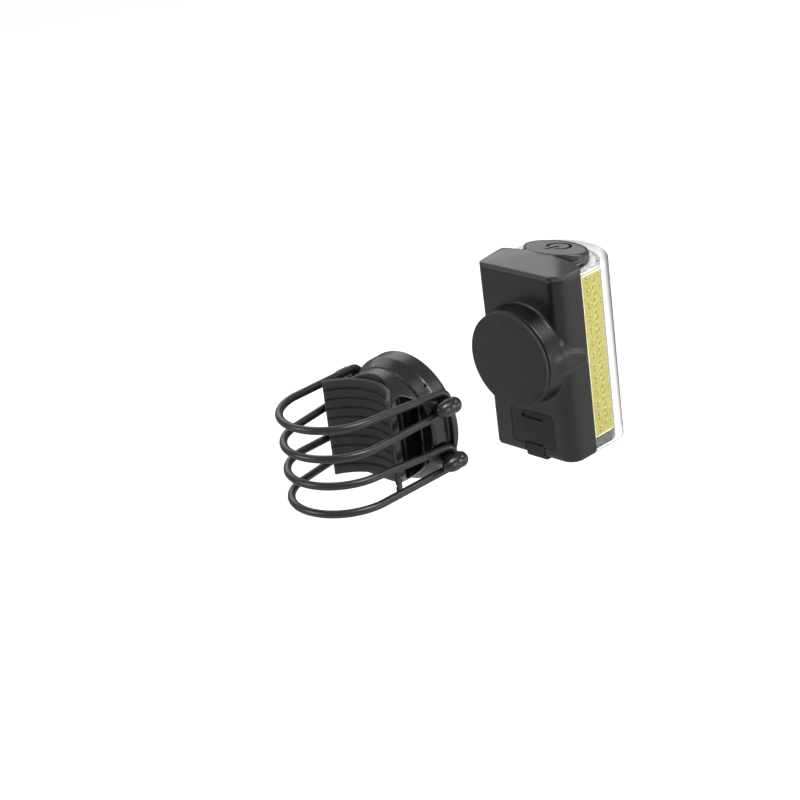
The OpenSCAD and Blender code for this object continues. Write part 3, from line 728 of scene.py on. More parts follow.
def tube_along(points: Sequence[Vector], radius: float, closed: bool, sides: int) -> Piece:
    """Draws a round tube along points and turns it into a mesh.

    Args:
        points: the middle line in millimetres.
        radius: the tube's radius.
        closed: whether the last point joins the first.
        sides: the curve's bevel resolution.

    Returns:
        The tube.
    """
    curve = bpy.data.curves.new("tube", "CURVE")
    curve.dimensions = "3D"
    spline = curve.splines.new("POLY")
    spline.points.add(len(points) - 1)
    for target, place in zip(spline.points, points):
        target.co = (*(place * MM), 1)
    spline.use_cyclic_u = closed
    curve.bevel_depth = radius * MM
    curve.bevel_resolution = sides
    curve.use_fill_caps = not closed
    pick(new_object("tube", curve))
    bpy.ops.object.convert(target="MESH")
    piece = bpy.context.active_object
    weld(piece)
    face_out(piece)
    bpy.ops.object.shade_smooth()
    return piece


def settle(piece: Piece, name: str, slot: str, finish: Finish, *nodes: str, body: str = "light") -> None:
    """Names a finished piece, dresses it and lets it ride on its body.

    Args:
        piece: the finished mesh object.
        name: the piece's name.
        slot: a material slot's name; not used.
        finish: its finish.
        nodes: the CAD nodes that it stands for.
        body: the CAD body that it rides on.
    """
    bake(piece)
    piece.name = piece.data.name = name
    paint(piece, finish)
    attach(piece, body)
    if nodes:
        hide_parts(*nodes)
    LOG.info("%s: %d faces, in %s", name, len(piece.data.polygons), finish.value.name)


@dataclass
class Bracket:
    """The saddle with its pad, and the dish with its four hooks."""

    tube_r: float = 15.9
    pad_wall: float = 1.2
    pad_half_angle: float = 60
    pad_edge: float = 0.25
    rib_pitch: float = 3.2
    rib_depth: float = 0.35
    hook_z: float = 9.2
    hook_setback: float = 5.7
    post_y: float = 17.4
    post_r: float = 2.1
    flare_r: float = 3.1
    flare_h: float = 1.6
    thumb: Triple = (4.7, 2.5, 2.75)
    thumb_back: float = 0.8
    thumb_in: float = 0.15
    mark_place: Pair = (13.2, 13.6)
    mark_depth: float = 0.7
    # Place in front of the dish's back, half width and turn of the slit and of the arrow notch
    marks: tuple[Triple, ...] = ((0.4, 0.22, 0.0), (3.2, 0.7, 0.35))
    ring_pitch: float = 1.5
    ring_depth: float = 0.12
    liner_edge: float = 0.15

    def build(self) -> None:
        """Builds every piece of the bracket."""
        saddle = merged_copy("saddle_block")
        skin(saddle, voxel=0.24, rounds=10)
        settle(saddle, "saddle_moulding", "bracket_plastic", Finish.GLOSS_ABS, "saddle_block", body="bracket")
        self.pad()
        self.dish()
        self.liner()
        dress(Finish.ZINC_STEEL, "dish_screws")
        dress(Finish.NICKEL_PLATE, "seat_magnet")

    def pad(self) -> None:
        """Spins the ribbed rubber pad round the tube's axis."""
        low, high = box_mm("saddle_pad")
        inner, outer, edge = self.tube_r, self.tube_r + self.pad_wall, self.pad_edge
        floor = inner + self.rib_depth
        profile = [(inner + edge, low.z), (outer, low.z), (outer, high.z), (inner + edge, high.z),
                   (inner, high.z - edge)]
        ribs = int((high.z - low.z - 2) / self.rib_pitch)
        for rib in range(ribs):
            z = ((ribs - 1) / 2 - rib) * self.rib_pitch
            profile += [(inner, z + 0.5), (floor, z + 0.25), (floor, z - 0.25), (inner, z - 0.5)]
        profile += [(inner, low.z + edge), (inner + edge, low.z)]
        start = math.radians(-self.pad_half_angle)
        piece = draw_line([Vector((r * math.cos(start), r * math.sin(start), z)) for r, z in profile])
        weld(piece)
        bpy.ops.mesh.spin(steps=60, angle=2 * start, center=(0, 0, 0), axis=(0, 0, 1))
        bpy.ops.mesh.select_all(action="SELECT")
        bpy.ops.mesh.fill_holes(sides=0)
        smooth_shade(face_out(piece))
        settle(piece, "saddle_pad_ribbed", "pad_rubber", Finish.PAD_RUBBER, "saddle_pad", body="bracket")

    def dish(self) -> None:
        """Moulds the dish with its hooks, each flared where it leaves the dish and knobbed at its end."""
        low, high = box_mm("seat_dish")
        hook_x = high.x - self.hook_setback
        thumb_y = high.y - self.thumb[1] - self.thumb_in
        parts = [merged_copy("seat_dish")]
        for side in SIDES:
            for z in (-self.hook_z, self.hook_z):
                parts.append(primitive(
                    bpy.ops.mesh.primitive_cone_add, (hook_x, side * self.post_y, z), vertices=32,
                    radius1=self.flare_r * MM, radius2=self.post_r * MM, depth=self.flare_h * 2 * MM,
                    rotation=(-side * math.pi / 2, 0, 0)))
                parts.append(primitive(
                    bpy.ops.mesh.primitive_uv_sphere_add, (hook_x - self.thumb_back, side * thumb_y, z),
                    self.thumb, segments=32, ring_count=20, radius=MM))
        piece = join(parts)
        skin(piece, voxel=0.24, rounds=6)
        self.mould_marks(piece, low.x)
        settle(piece, "dish_moulding", "bracket_plastic", Finish.GLOSS_ABS, "seat_dish", body="bracket")

    def mould_marks(self, piece: Piece, back_x: float) -> None:
        """Cuts the slit and the arrow notch that show on each flank of the dish, above the upper hook.

        Args:
            piece: the dish.
            back_x: where the dish meets the saddle.
        """
        y, z = self.mark_place
        for side in SIDES:
            for x, half, turn in self.marks:
                cut(piece, primitive(
                    bpy.ops.mesh.primitive_cone_add, (back_x + x, side * y, z), (1, 2.2 * self.mark_depth, 1),
                    vertices=3, radius1=half * 2 * MM, radius2=half * 0.4 * MM, depth=8 * MM,
                    rotation=(side * -0.8, turn, 0)))
        bpy.ops.object.shade_smooth()

    def liner(self) -> None:
        """Turns the friction liner with its fine rings."""
        low, high = box_mm("seat_liner")
        radius, front, floor = high.z, high.x, high.x - self.ring_depth
        profile = [(low.x, 0), (low.x, radius), (front - self.liner_edge, radius),
                   (front, radius - self.liner_edge)]
        for ring in range(1, int(radius / self.ring_pitch)):
            r = radius - self.ring_pitch * ring
            profile += [(front, r + 0.4), (floor, r + 0.2), (floor, r - 0.2), (front, r - 0.4)]
        piece = turned(profile + [(front, 0)])
        settle(piece, "friction_liner", "liner_rubber", Finish.LINER_RUBBER, "seat_liner", body="bracket")


@dataclass
class RubberRings:
    """Two closed rings of rubber cord, from the hooks on one side round the tube to the other side."""

    cord_r: float = 1.25
    loop_r: float = 3.45
    hook_z: float = 9.2
    strand_spread: float = 4.7

    def build(self) -> None:
        """Draws each ring round the tube and round its two hooks."""
        for node, height in (("o_ring_upper", self.hook_z), ("o_ring_lower", -self.hook_z)):
            low, high = box_mm(node)
            wrap_r, side_y = -low.x - self.cord_r, high.y - self.cord_r
            hook_x = high.x - self.cord_r - self.loop_r
            leave = math.degrees(math.atan2(side_y, hook_x) + math.acos(wrap_r / math.hypot(hook_x, side_y)))
            points: list[Vector] = []
            for strand in (1, -1):
                first, last = (leave, 360 - leave)[::strand]
                z = height + strand * self.strand_spread
                loop = arc((hook_x, height), self.loop_r, strand * 90, -strand * 90, 24)
                points += [Vector((x, y, z)) for x, y in arc((0, 0), wrap_r, first, last, 56)]
                points += [Vector((x, -strand * side_y, z)) for x, z in loop]
            piece = tube_along(points, self.cord_r, closed=True, sides=6)
            settle(piece, node + "_cord", "ring_rubber", Finish.RING_RUBBER, node, body="bracket")


@dataclass
class Puck:
    """The round puck that holds to the dish, with the magnet and the screw inside it."""

    rim_t: float = 1.4
    rim_round: float = 0.45
    back_round: float = 0.2
    cup_wall: float = 1.6
    cup_r: float = 13.9
    hub_r: float = 3.2
    thread_r: float = 1.6

    def build(self) -> None:
        """Builds the puck and dresses what it holds."""
        low, high = box_mm("puck_cover")
        radius, back, lip = high.z, low.x + self.rim_t, self.cup_r - self.cup_wall
        profile = [(low.x, 0), (low.x, radius * 0.5)]
        profile += arc((low.x + self.rim_round, radius - self.rim_round), self.rim_round, 180, 90)
        profile += arc((back - self.back_round, radius - self.back_round), self.back_round, 90, 0, 3)
        profile += [(back, self.cup_r), (high.x, self.cup_r), (high.x, lip), (back, lip), (back, self.hub_r),
                    (high.x, self.hub_r), (high.x, self.thread_r), (back + 1, self.thread_r), (back + 1, 0)]
        settle(turned(profile), "puck_moulding", "puck_plastic", Finish.PUCK_PLASTIC, "puck_cover",
               body="puck")
        dress(Finish.NICKEL_PLATE, "puck_magnet")
        dress(Finish.ZINC_STEEL, "puck_plate", "swivel_screw")


@dataclass
class Housing:
    """The rear shell with its boss and fins, and the flap over the charging port."""

    wall: float = 1.8
    flap_gap: float = 0.15
    flap_t: float = 1.0
    flap_corner_r: float = 1.8
    flap_w: float = 19.0
    flap_h: float = 12.5
    port_w: float = 12.0
    port_h: float = 7.0
    nail_half_w: float = 4.5
    nail_drop: Pair = (2.9, 1.3)
    nail_depth: float = 0.55
    plug_gap: float = 0.4
    tongue_half_w: float = 3.1
    strap_w: float = 8.0
    strap_t: float = 1.1
    strap_gap: float = 0.3
    strap_lap: float = 1.2
    strap_step: float = 0.35
    foot_step: float = 0.8
    foot_lift: float = 0.65
    bend_r: float = 1.1
    bend_rise: float = 1.75
    neck_start: float = 5.8
    fin_y: float = 9.0
    fin_z: float = -0.6
    fin_half_h: float = 11.0
    fin_end: float = 10.5
    boss_ring: Pair = (16.2, 22.0)
    boss_end: float = 1.2

    def __post_init__(self) -> None:
        """Takes the flap's place from the solids."""
        low, high = box_mm("port_flap")
        self.back, self.top = low.x, high.z
        self.bottom = self.top - self.flap_h
        self.middle = (self.top + self.bottom) / 2

    def build(self) -> None:
        """Builds the shell, the flap and the strap."""
        self.shell()
        self.flap()
        self.strap()
        dress(Finish.ZINC_STEEL, "swivel_washer")

    def slab(self, half_w: float, low_z: float, high_z: float, back: float, front: float) -> Piece:
        """Adds a block across the middle of the housing's back.

        Args:
            half_w: half of its width.
            low_z: height of its bottom.
            high_z: height of its top.
            back: its back, measured from the housing's back face.
            front: its front, measured so too.

        Returns:
            The block.
        """
        return block((self.back + back, -half_w, low_z), (self.back + front, half_w, high_z))

    def flap_plate(self, grow: float, back: float, front: float) -> Piece:
        """Adds a plate of the flap's outline.

        Args:
            grow: distance that the outline stands outside the flap's.
            back: its back, measured from the housing's back face.
            front: its front, measured so too.

        Returns:
            The plate.
        """
        half, top = self.flap_w / 2 + grow, self.top + grow
        return rounded_block((self.back + back, -half, top - self.flap_h - 2 * grow),
                             (self.back + front, half, top), self.flap_corner_r + grow, axis=0)

    def shell(self) -> None:
        """Moulds the shell as one skin, then cuts the flap's recess sharp."""
        plug = self.slab(self.flap_w / 2 + 1, self.bottom - 0.6, self.top + 1, 0, self.wall)
        piece = join([merged_copy("rear_shell"), plug])
        skin(piece, voxel=0.3, rounds=5)
        self.soften_neck(piece)
        half_h = self.port_h / 2
        cut(piece, self.flap_plate(self.flap_gap, -1, self.flap_t + 0.1))
        cut(piece, self.slab(self.port_w / 2, self.middle - half_h, self.middle + half_h, -1, self.wall + 1))
        cut(piece, self.slab(self.strap_w / 2 + self.strap_gap, self.bottom - 6, self.bottom + 1, -1,
                             self.flap_t + 0.4))
        apply_modifier(piece, "DECIMATE", decimate_type="COLLAPSE", ratio=0.6)
        smooth_shade(piece, 40)
        settle(piece, "rear_shell_moulding", "housing_plastic", Finish.SATIN_SHELL, "rear_shell")

    def soften_neck(self, piece: Piece) -> None:
        """Smooths the boss and the fins into one neck.

        Args:
            piece: the shell.
        """
        group = piece.vertex_groups.new(name="neck")
        for vertex in piece.data.vertices:
            x, y, z = vertex.co / MM
            x -= self.back
            near_fin = abs(y) > self.fin_y and abs(z - self.fin_z) < self.fin_half_h and x < self.fin_end
            near_boss = self.boss_ring[0] < math.hypot(y, z) < self.boss_ring[1] and x < self.boss_end
            if x > -self.neck_start and (near_fin or near_boss):
                group.add([vertex.index], 1.0, "REPLACE")
        rounds = 14
        apply_modifier(piece, "SMOOTH", factor=0.5, iterations=rounds, vertex_group="neck")

    def flap(self) -> None:
        """Builds the flap with its nail slot, its plug and a thin block that reaches past the plug towards
        the socket's tongue.
        """
        half_h = self.port_h / 2 - self.plug_gap
        piece = soft_edges(self.flap_plate(0, 0, self.flap_t), 0.18)
        nail_low, nail_high = (self.top - drop for drop in self.nail_drop)
        cut(piece, rounded_block((self.back - 1, -self.nail_half_w, nail_low),
                                 (self.back + self.nail_depth, self.nail_half_w, nail_high),
                                 0.3, axis=0))
        plug = self.slab(self.port_w / 2 - self.plug_gap, self.middle - half_h, self.middle + half_h,
                         self.flap_t - 0.05, self.wall - 0.6)
        tongue = self.slab(self.tongue_half_w, self.middle - 0.55, self.middle + 0.05,
                           self.wall - 0.7, self.wall + 0.5)
        piece = join([piece, soft_edges(plug, 0.15), soft_edges(tongue, 0.1)])
        settle(piece, "flap_moulding", "flap_rubber", Finish.FLAP_RUBBER, "port_flap", body="flap")

    def strap(self) -> None:
        """Bends the flap's strap from the flap's bottom round under the housing to its foot."""
        low, high = box_mm("flap_root")
        half_t = self.strap_t / 2
        bend_x, bend_z = self.back + half_t + self.bend_r, low.z + self.bend_rise
        drops = [self.bottom + self.strap_lap - self.strap_step * i for i in range(12)]
        path = [(self.back + half_t, z) for z in drops if z > bend_z]
        path += arc((bend_x, bend_z), self.bend_r, 180, 270, 10)
        path += [(bend_x + self.foot_step * i, low.z + self.foot_lift) for i in range(1, 5)]
        path = [(x, z) for x, z in path if x <= high.x - 0.1]
        strap = draw_line([Vector((x, -self.strap_w / 2, z)) for x, z in path])
        edit(strap)
        for _ in range(8):
            extrude((0, self.strap_w / 8, 0))
        apply_modifier(strap, "SOLIDIFY", thickness=self.strap_t * MM, offset=0)
        face_out(strap)
        apply_modifier(strap, "BEVEL", width=0.15 * MM, segments=2, limit_method="ANGLE",
                       angle_limit=math.radians(60))
        smooth_shade(strap)
        foot = soft_edges(merged_copy("flap_root"), 0.15)
        settle(foot, "strap_foot", "flap_rubber", Finish.FLAP_RUBBER, "flap_root")
        strap.name = "flap_strap"
        paint(strap, Finish.FLAP_RUBBER)
        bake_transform(strap)
        LOG.info("flap_strap: %d faces, bends between the housing and the flap", len(strap.data.polygons))


@dataclass
class CapAndButton:
    """The glossy cap with its oval nose, and the button in it."""

    edge_t: float = 1.4
    face_a: float = 7.9
    face_b: float = 11.2
    face_shift: float = 0.9
    face_drop: float = 1.15
    face_slope: float = 8.0
    rim_w: float = 0.5
    button_gap: float = 0.12
    near_corner_r: float = 5.0
    far_corner_r: float = 1.2
    mark_r: float = 4.4
    mark_w: float = 1.15
    mark_shift: Pair = (2.0, 0.2)
    mark_depth: float = 0.35
    bar_l: float = 6.0
    bar_turn: float = 9.0
    bar_shift: Pair = (-2.8, 0.5)
    apron_front: float = 4.0
    apron_drop: float = 1.1
    over: float = 6.0
    shoulder_a: float = 8.5
    shoulder_y: float = 6.5
    shoulder_inset: float = 0.9
    shoulder_rise: float = 1.5
    seam_lap: float = 0.3
    waist: Pair = (0.4, 1.4)
    waist_h: float = 2.1
    foot_half_y: float = 12.9
    foot_h: float = 0.9
    step_inset: float = 1.2

    def __post_init__(self) -> None:
        """Takes the middle of the button's face from the solids."""
        low, high = box_mm("power_button")
        self.x = (low.x + high.x) / 2 + self.face_shift
        self.top = high.z - self.face_drop
        self.floor = low.z - 0.4

    def build(self) -> None:
        """Builds the cap, the button and its mark."""
        self.cap()
        self.button()
        dress(Finish.PLUNGER_NYLON, "switch_plunger")

    def slanted(self, piece: Piece) -> Piece:
        """Turns a level piece about the face's middle, so that its top slopes down to the front.

        Args:
            piece: the level piece.

        Returns:
            The same piece.
        """
        edit(piece)
        bpy.ops.transform.rotate(value=-math.radians(self.face_slope), orient_axis="Y",
                                 center_override=Vector((self.x, 0, self.top)) * MM)
        object_mode()
        return piece

    def oval(self, grow_a: float, grow_b: float, low: float, high: float) -> Piece:
        """Adds an upright oval block round the face's middle.

        Args:
            grow_a: how far it stands outside the face's end.
            grow_b: how far it stands outside the face's side.
            low: height of its bottom.
            high: height of its top.

        Returns:
            The block.
        """
        return ellipse_block((self.x, 0), self.face_a + grow_a, self.face_b + grow_b, low, high)

    def cap(self) -> None:
        """Moulds the cap: a smooth mound from the housing's edge up to the oval nose."""
        low, high = box_mm("top_cap")
        half, seam, rim_top = high.y, box_mm("lens")[0].x, low.z + self.edge_t
        apron = block((low.x - self.over, -half - self.over, low.z - self.over),
                      (seam + self.apron_front, half + self.over, rim_top - self.apron_drop))
        shoulder = ellipse_block((seam + 3, self.shoulder_y), self.shoulder_a,
                                 half - self.shoulder_inset - self.shoulder_y, low.z,
                                 rim_top + self.shoulder_rise)
        mound = hull([apron, shoulder, self.slanted(self.oval(0, 0, low.z, self.top))])
        skin(mound, voxel=0.35, rounds=260)
        corners = {(-1, -1): self.near_corner_r, (-1, 1): self.far_corner_r}
        cut(mound, rounded_block((low.x, -half, low.z - 1), (seam + self.seam_lap, half, high.z + 2), corners,
                                axis=2),
            "INTERSECT")
        face = self.slanted(self.oval(self.rim_w, self.rim_w, self.top - 0.4, self.top))
        nose = hull([face, self.oval(*self.waist, low.z - 3, low.z + self.waist_h)])
        foot = block((seam - 1, -self.foot_half_y, low.z - 3),
                     (self.x, self.foot_half_y, low.z + self.foot_h))
        piece = join([mound, nose, foot])
        skin(piece, voxel=0.2, rounds=10)
        cut(piece, block((low.x - 5, -half - 5, low.z - 9), (high.x + 5, half + 5, low.z)))
        cut(piece, self.slanted(self.oval(self.button_gap, self.button_gap, low.z - 4, self.top + 2)))
        smooth_shade(piece, 40)
        settle(piece, "cap_moulding", "cap_plastic", Finish.PIANO_CAP, "top_cap")

    def mark(self, low: float, high: float, grow: float) -> list[Piece]:
        """Adds the power mark: a broken ring and the bar through its gap.

        Args:
            low: height of its bottom.
            high: height of its top.
            grow: added to its line width.

        Returns:
            The ring and the bar.
        """
        x, y = self.x + self.mark_shift[0], self.mark_shift[1]
        width = self.mark_w + grow
        radius = (self.mark_r - self.mark_w / 2) * MM
        ring = primitive(bpy.ops.mesh.primitive_circle_add, (x, y, low), (radius, radius, 1), vertices=96,
                         radius=1, fill_type="NOTHING")
        select_where(ring, lambda p: p.x < x and -1.1 < p.y - y < 2.5)
        bpy.ops.mesh.delete(type="VERT")
        bpy.ops.mesh.select_all(action="SELECT")
        extrude((0, 0, high - low))
        apply_modifier(ring, "SOLIDIFY", thickness=width * MM, offset=0, use_even_offset=True)
        half = (self.bar_l + grow) / 2
        bar = block((-half, -width / 2, low), (half, width / 2, high))
        edit(bar)
        bpy.ops.transform.rotate(value=math.radians(self.bar_turn), orient_axis="Z",
                                 center_override=(0, 0, 0))
        bpy.ops.transform.translate(value=Vector((x + self.bar_shift[0], y + self.bar_shift[1], 0)) * MM)
        return [face_out(self.slanted(piece)) for piece in (ring, bar)]

    def button(self) -> None:
        """Builds the button with its sloping face and its lower step, and lays the mark in the face."""
        piece = self.slanted(self.oval(0, 0, self.floor - 3, self.top))
        cut(piece, block((80, -30, self.floor - 9), (130, 30, self.floor)))
        round_where(piece, lambda p: p.z > self.floor + 0.01, 0.15, 3)
        for line in self.mark(self.top - self.mark_depth, self.top + 0.5, 0.0):
            cut(piece, line)
        step = self.oval(-self.step_inset, -self.step_inset, self.floor - 0.35, self.floor + 0.05)
        smooth_shade(piece, 40)
        smooth_shade(step, 40)
        settle(join([piece, step]), "button_moulding", "button_rubber", Finish.BUTTON_SILICONE,
               "power_button", body="button")
        mark = join(self.mark(self.top - self.mark_depth - 0.05, self.top - 0.03, 0.04))
        settle(mark, "power_mark", "button_rubber", Finish.MARK_PAINT, body="button")


@dataclass
class LampPath:
    """The lamp's outline seen from above, measured along its length from the -Y side's back edge."""

    half_y: float
    front_r: float
    corner_r: float
    arc_x: float
    start_x: float

    def __post_init__(self) -> None:
        """Works out each stretch: its length, middle, radius (0 if straight) and first normal's angle."""
        corner_y, reach = self.half_y - self.corner_r, self.front_r - self.corner_r
        corner_x = self.arc_x + math.sqrt(reach ** 2 - corner_y ** 2)
        bend = math.atan2(corner_y, corner_x - self.arc_x)
        side, corner = corner_x - self.start_x, (math.pi / 2 - bend) * self.corner_r
        self.spans = [
            (side, self.start_x, -self.half_y, 0, -math.pi / 2),
            (corner, corner_x, -corner_y, self.corner_r, -math.pi / 2),
            (2 * bend * self.front_r, self.arc_x, 0, self.front_r, -bend),
            (corner, corner_x, corner_y, self.corner_r, bend),
            (side, corner_x, self.half_y, 0, math.pi / 2),
        ]
        self.length = sum(span[0] for span in self.spans)

    def at(self, distance: float) -> tuple[Vector, Vector]:
        """Returns the place and the outward normal at a distance along the outline.

        Args:
            distance: the distance in millimetres.

        Returns:
            The place and the normal.
        """
        for length, x, y, radius, angle in self.spans:
            if distance <= length + 1e-9:
                break
            distance -= length
        if radius:
            angle += distance / radius
        out = Vector((math.cos(angle), math.sin(angle), 0))
        along = Vector((-out.y, out.x, 0)) * (0 if radius else distance)
        return Vector((x, y, 0)) + out * radius + along, out

    def points(self, steps: int, height: float) -> list[Vector]:
        """Returns evenly spaced places along the whole outline, at one height."""
        return [self.at(self.length * i / steps)[0] + Vector((0, 0, height)) for i in range(steps + 1)]


@dataclass
class Lamp:
    """The clear lens and what stands behind it, all along one outline."""

    lens_wall: float = 1.0
    lens_front: float = 2.7
    front_r: float = 21.0
    front_centre: float = 13.0
    front_corner_r: float = 5.0
    lens_round: float = 2.0
    lamp_gap: float = 0.3
    phosphor_t: float = 0.5
    board_t: float = 0.6
    carrier_wall: float = 1.3
    groove_x: float = 10.0
    groove_y: Pair = (15.7, 17.0)
    groove_w: float = 0.7
    bead_r: float = 0.3
    speck_r: float = 0.36
    first_column: float = 2.6
    column_pitch: float = 3.1
    pair_pitch: float = 4.4
    pair_gap: float = 1.3
    speck_margin: float = 1.6
    sway: float = 0.35
    # Shift along and up from a die, and size over a die's, of its twin and of the pale domes of painted
    # highlight beside it
    twin: Triple = (0.55, 0.5, 0.8)
    pair_glint: Triple = (0.0, 1.1, 0.8)
    row_glint: Triple = (0.9, 0.4, 0.7)
    dome_h: float = 0.12
    well_a: float = 6.85
    well_b: float = 12.55
    # width of the painted shade line for the lens wall's inner edge
    rim_line_w: float = 0.6
    pad_span: Pair = (1.6, 5.0)
    pin_place: Pair = (12.5, 13.5)

    def __post_init__(self) -> None:
        """Takes the seam's place and the front arcs' middle from the solids."""
        self.seam = box_mm("lens")[0].x
        self.arc_x = box_mm("port_flap")[0].x + self.front_centre

    def build(self) -> None:
        """Builds the lens, the gasket, the carrier and the lamp."""
        self.lens()
        self.carrier()
        self.strip("cob_board", "lamp_board", Finish.BOARD_MASK, self.phosphor_t, self.board_t)
        self.strip("cob_phosphor", "phosphor_silicone", Finish.PHOSPHOR, 0, self.phosphor_t)
        self.bead()
        self.specks()
        self.trims()
        for node, slot, finish in (("lens_gasket", "gasket_rubber", Finish.GASKET_FOAM),
                                   ("reflector_plate", "reflector_plastic", Finish.REFLECTOR)):
            settle(soft_edges(merged_copy(node), 0.12), node + "_moulding", slot, finish, node)

    def path(self, inset: float, start: float) -> LampPath:
        """Returns the outline that stands inset from the lens's inner face.

        Args:
            inset: distance from the lens's inner face.
            start: place along X where the outline begins and ends.

        Returns:
            The outline.
        """
        half = box_mm("lens")[1].y - self.lens_wall
        return LampPath(half - inset, self.front_r - self.lens_front - inset,
                        self.front_corner_r - self.lens_wall - inset, self.arc_x, start)

    def prism(self, path: LampPath, low: float, high: float) -> Piece:
        """Raises a solid from one height to another over all that an outline encloses.

        Args:
            path: the outline.
            low: height of its bottom.
            high: height of its top.

        Returns:
            The solid.
        """
        piece = draw_line(path.points(150, low))
        edit(piece)
        bpy.ops.mesh.edge_face_add()
        extrude((0, 0, high - low))
        bpy.ops.mesh.select_all(action="SELECT")
        bpy.ops.mesh.dissolve_limited(angle_limit=math.radians(0.05))
        return face_out(piece)

    def hollow(self, piece: Piece, away: float, low: Vector, high: Vector) -> None:
        """Cuts away all that lies deeper than away inside the lens, from below a box to above it.

        Args:
            piece: the solid.
            away: distance from the lens's inner face.
            low: the box's lowest corner.
            high: the box's highest corner.
        """
        cut(piece, self.prism(self.path(away, low.x - 2), low.z - 1, high.z + 1))

    def lens(self) -> None:
        """Moulds the clear lens: thin at the sides, thick at the front, with a well for the button."""
        low, high = box_mm("lens")
        outer = LampPath(high.y, self.front_r, self.front_corner_r, self.arc_x, low.x)
        piece = self.prism(outer, low.z, high.z)
        round_where(piece, lambda p: p.z < low.z + 0.01 and p.x > low.x - 0.01, self.lens_round, 8)
        round_where(piece, lambda p: p.z > high.z - 0.01 and p.x > low.x - 0.01, 0.35, 3)
        cut(piece, self.prism(self.path(0, low.x - 3), low.z + self.lens_wall, high.z - self.lens_wall))
        button = box_mm("power_button")
        well_x, over = (button[0].x + button[1].x) / 2, high.z + 5
        cut(piece, ellipse_block((well_x, 0), self.well_a, self.well_b, 0, over))
        cut(piece, block((low.x - 3, -self.well_b, 0), (well_x, self.well_b, over)))
        cut(piece, block((low.x - 6, -30, low.z - 5), (low.x, 30, over)))
        smooth_shade(piece)
        settle(piece, "lens_moulding", "lens_clear", Finish.CLEAR_LENS, "lens")

    def strip(self, node: str, slot: str, finish: Finish, inset: float, thickness: float) -> None:
        """Bends one layer of the lamp round the front.

        Args:
            node: the CAD node that it stands for.
            slot: a material slot's name, passed on to settle.
            finish: its finish.
            inset: how far its outer face lies inside the phosphor's.
            thickness: its thickness.
        """
        low, high = box_mm(node)
        away = self.lamp_gap + inset
        piece = self.prism(self.path(away, low.x), low.z, high.z)
        self.hollow(piece, away + thickness, low, high)
        settle(soft_edges(piece, 0.08, 2), node + "_strip", slot, finish, node)

    def carrier(self) -> None:
        """Moulds the carrier with its foot, and cuts the groove in the foot's side."""
        low, high = box_mm("led_carrier")
        foot_top = box_mm("cob_board")[0].z
        away = self.lamp_gap + self.phosphor_t + self.board_t
        piece = self.prism(self.path(away, low.x), low.z, high.z)
        cut(piece, self.prism(self.path(self.lamp_gap, low.x), low.z, foot_top), "UNION")
        self.hollow(piece, away + self.carrier_wall, low, high)
        x, half_w = self.seam + self.groove_x, self.groove_w / 2
        for side in SIDES:
            near, far = sorted(side * y for y in self.groove_y)
            cut(piece, block((x - half_w, near, low.z - 1), (x + half_w, far, foot_top)))
        settle(soft_edges(piece, 0.15), "led_carrier_moulding", "carrier_plastic",
               Finish.CARRIER_NYLON, "led_carrier")

    def bead(self) -> None:
        """Lays the cream silicone bead round the phosphor's edge."""
        low, high = box_mm("cob_phosphor")
        path = self.path(self.lamp_gap + self.bead_r - 0.08, low.x + self.bead_r)
        top, bottom = path.points(90, high.z - self.bead_r), path.points(90, low.z + self.bead_r)
        piece = tube_along(top + bottom[::-1], self.bead_r, closed=True, sides=3)
        settle(piece, "phosphor_bead", "lamp_board", Finish.DAM_SILICONE)

    def specks(self) -> None:
        """Sets the flat domes over the dies, and beside them the pale domes of painted highlight, glints of
        light, all along the phosphor.
        """
        low, high = box_mm("cob_phosphor")
        path = self.path(self.lamp_gap, low.x)
        specks: list[Triple] = []
        # drops holds the places of the painted glints: pale domes of painted highlight
        drops: list[Triple] = []
        for column in range(int((path.length - 2 * self.first_column) / self.column_pitch) + 1):
            along = self.first_column + column * self.column_pitch
            heights = self.heights(column, low.z + self.speck_margin, high.z - self.speck_margin)
            for number, z in enumerate(heights):
                sway = 0.0 if column % 2 == 0 else (self.sway if number % 2 else -self.sway)
                specks.append((along + sway, z, 1.0))
                if column % 2:
                    specks.append((along + sway + self.twin[0], z + self.twin[1], self.twin[2]))
                    drops.append((along - sway + self.pair_glint[0], z + self.pair_glint[1], self.pair_glint[2]))
                elif number % 2:
                    drops.append((along + self.row_glint[0], z + self.row_glint[1], self.row_glint[2]))
        self.scatter("die_specks", Finish.DIE_SPECK, path, specks)
        # painted highlight: pale glints scattered over the phosphor
        self.scatter("painted_glints", Finish.DIE_DROP, path, drops)

    def scatter(self, name: str, finish: Finish, path: LampPath, spots: list[Triple]) -> None:
        """Copies one small dome to many places on the phosphor.

        Args:
            name: the piece's name.
            finish: its finish.
            path: the phosphor's outline.
            spots: distance along the outline, height, and radius over a speck's, of each dome.
        """
        seed = primitive(bpy.ops.mesh.primitive_uv_sphere_add, segments=8, ring_count=4, radius=MM)
        domes = []
        for along, z, size in spots:
            place, out = path.at(min(max(along, 0.5), path.length - 0.5))
            dome = new_object("dome", seed.data.copy())
            turn = Vector((0, 0, 1)).rotation_difference(out).to_matrix().to_4x4()
            shape = Matrix.Diagonal((size * self.speck_r, size * self.speck_r, self.dome_h, 1))
            dome.data.transform(Matrix.Translation((place + Vector((0, 0, z))) * MM) @ turn @ shape)
            domes.append(dome)
        bpy.data.objects.remove(seed)
        piece = join(domes)
        bpy.ops.object.shade_smooth()
        settle(piece, name, "phosphor_silicone", finish)

    def heights(self, column: int, low: float, high: float) -> list[float]:
        """Returns the heights of one column's dies: pairs in every other column, even rows between.

        Args:
            column: the column's number.
            low: the lowest height allowed.
            high: the highest height allowed.

        Returns:
            Heights in millimetres.
        """
        rows = int((high - low) / self.pair_pitch)
        shift = self.pair_gap / 2 if column % 2 == 0 else self.pair_pitch / 4
        centres = [(low + high) / 2 + (row - rows / 2) * self.pair_pitch for row in range(rows + 1)]
        return [z + side * shift for z in centres for side in SIDES if low <= z + side * shift <= high]

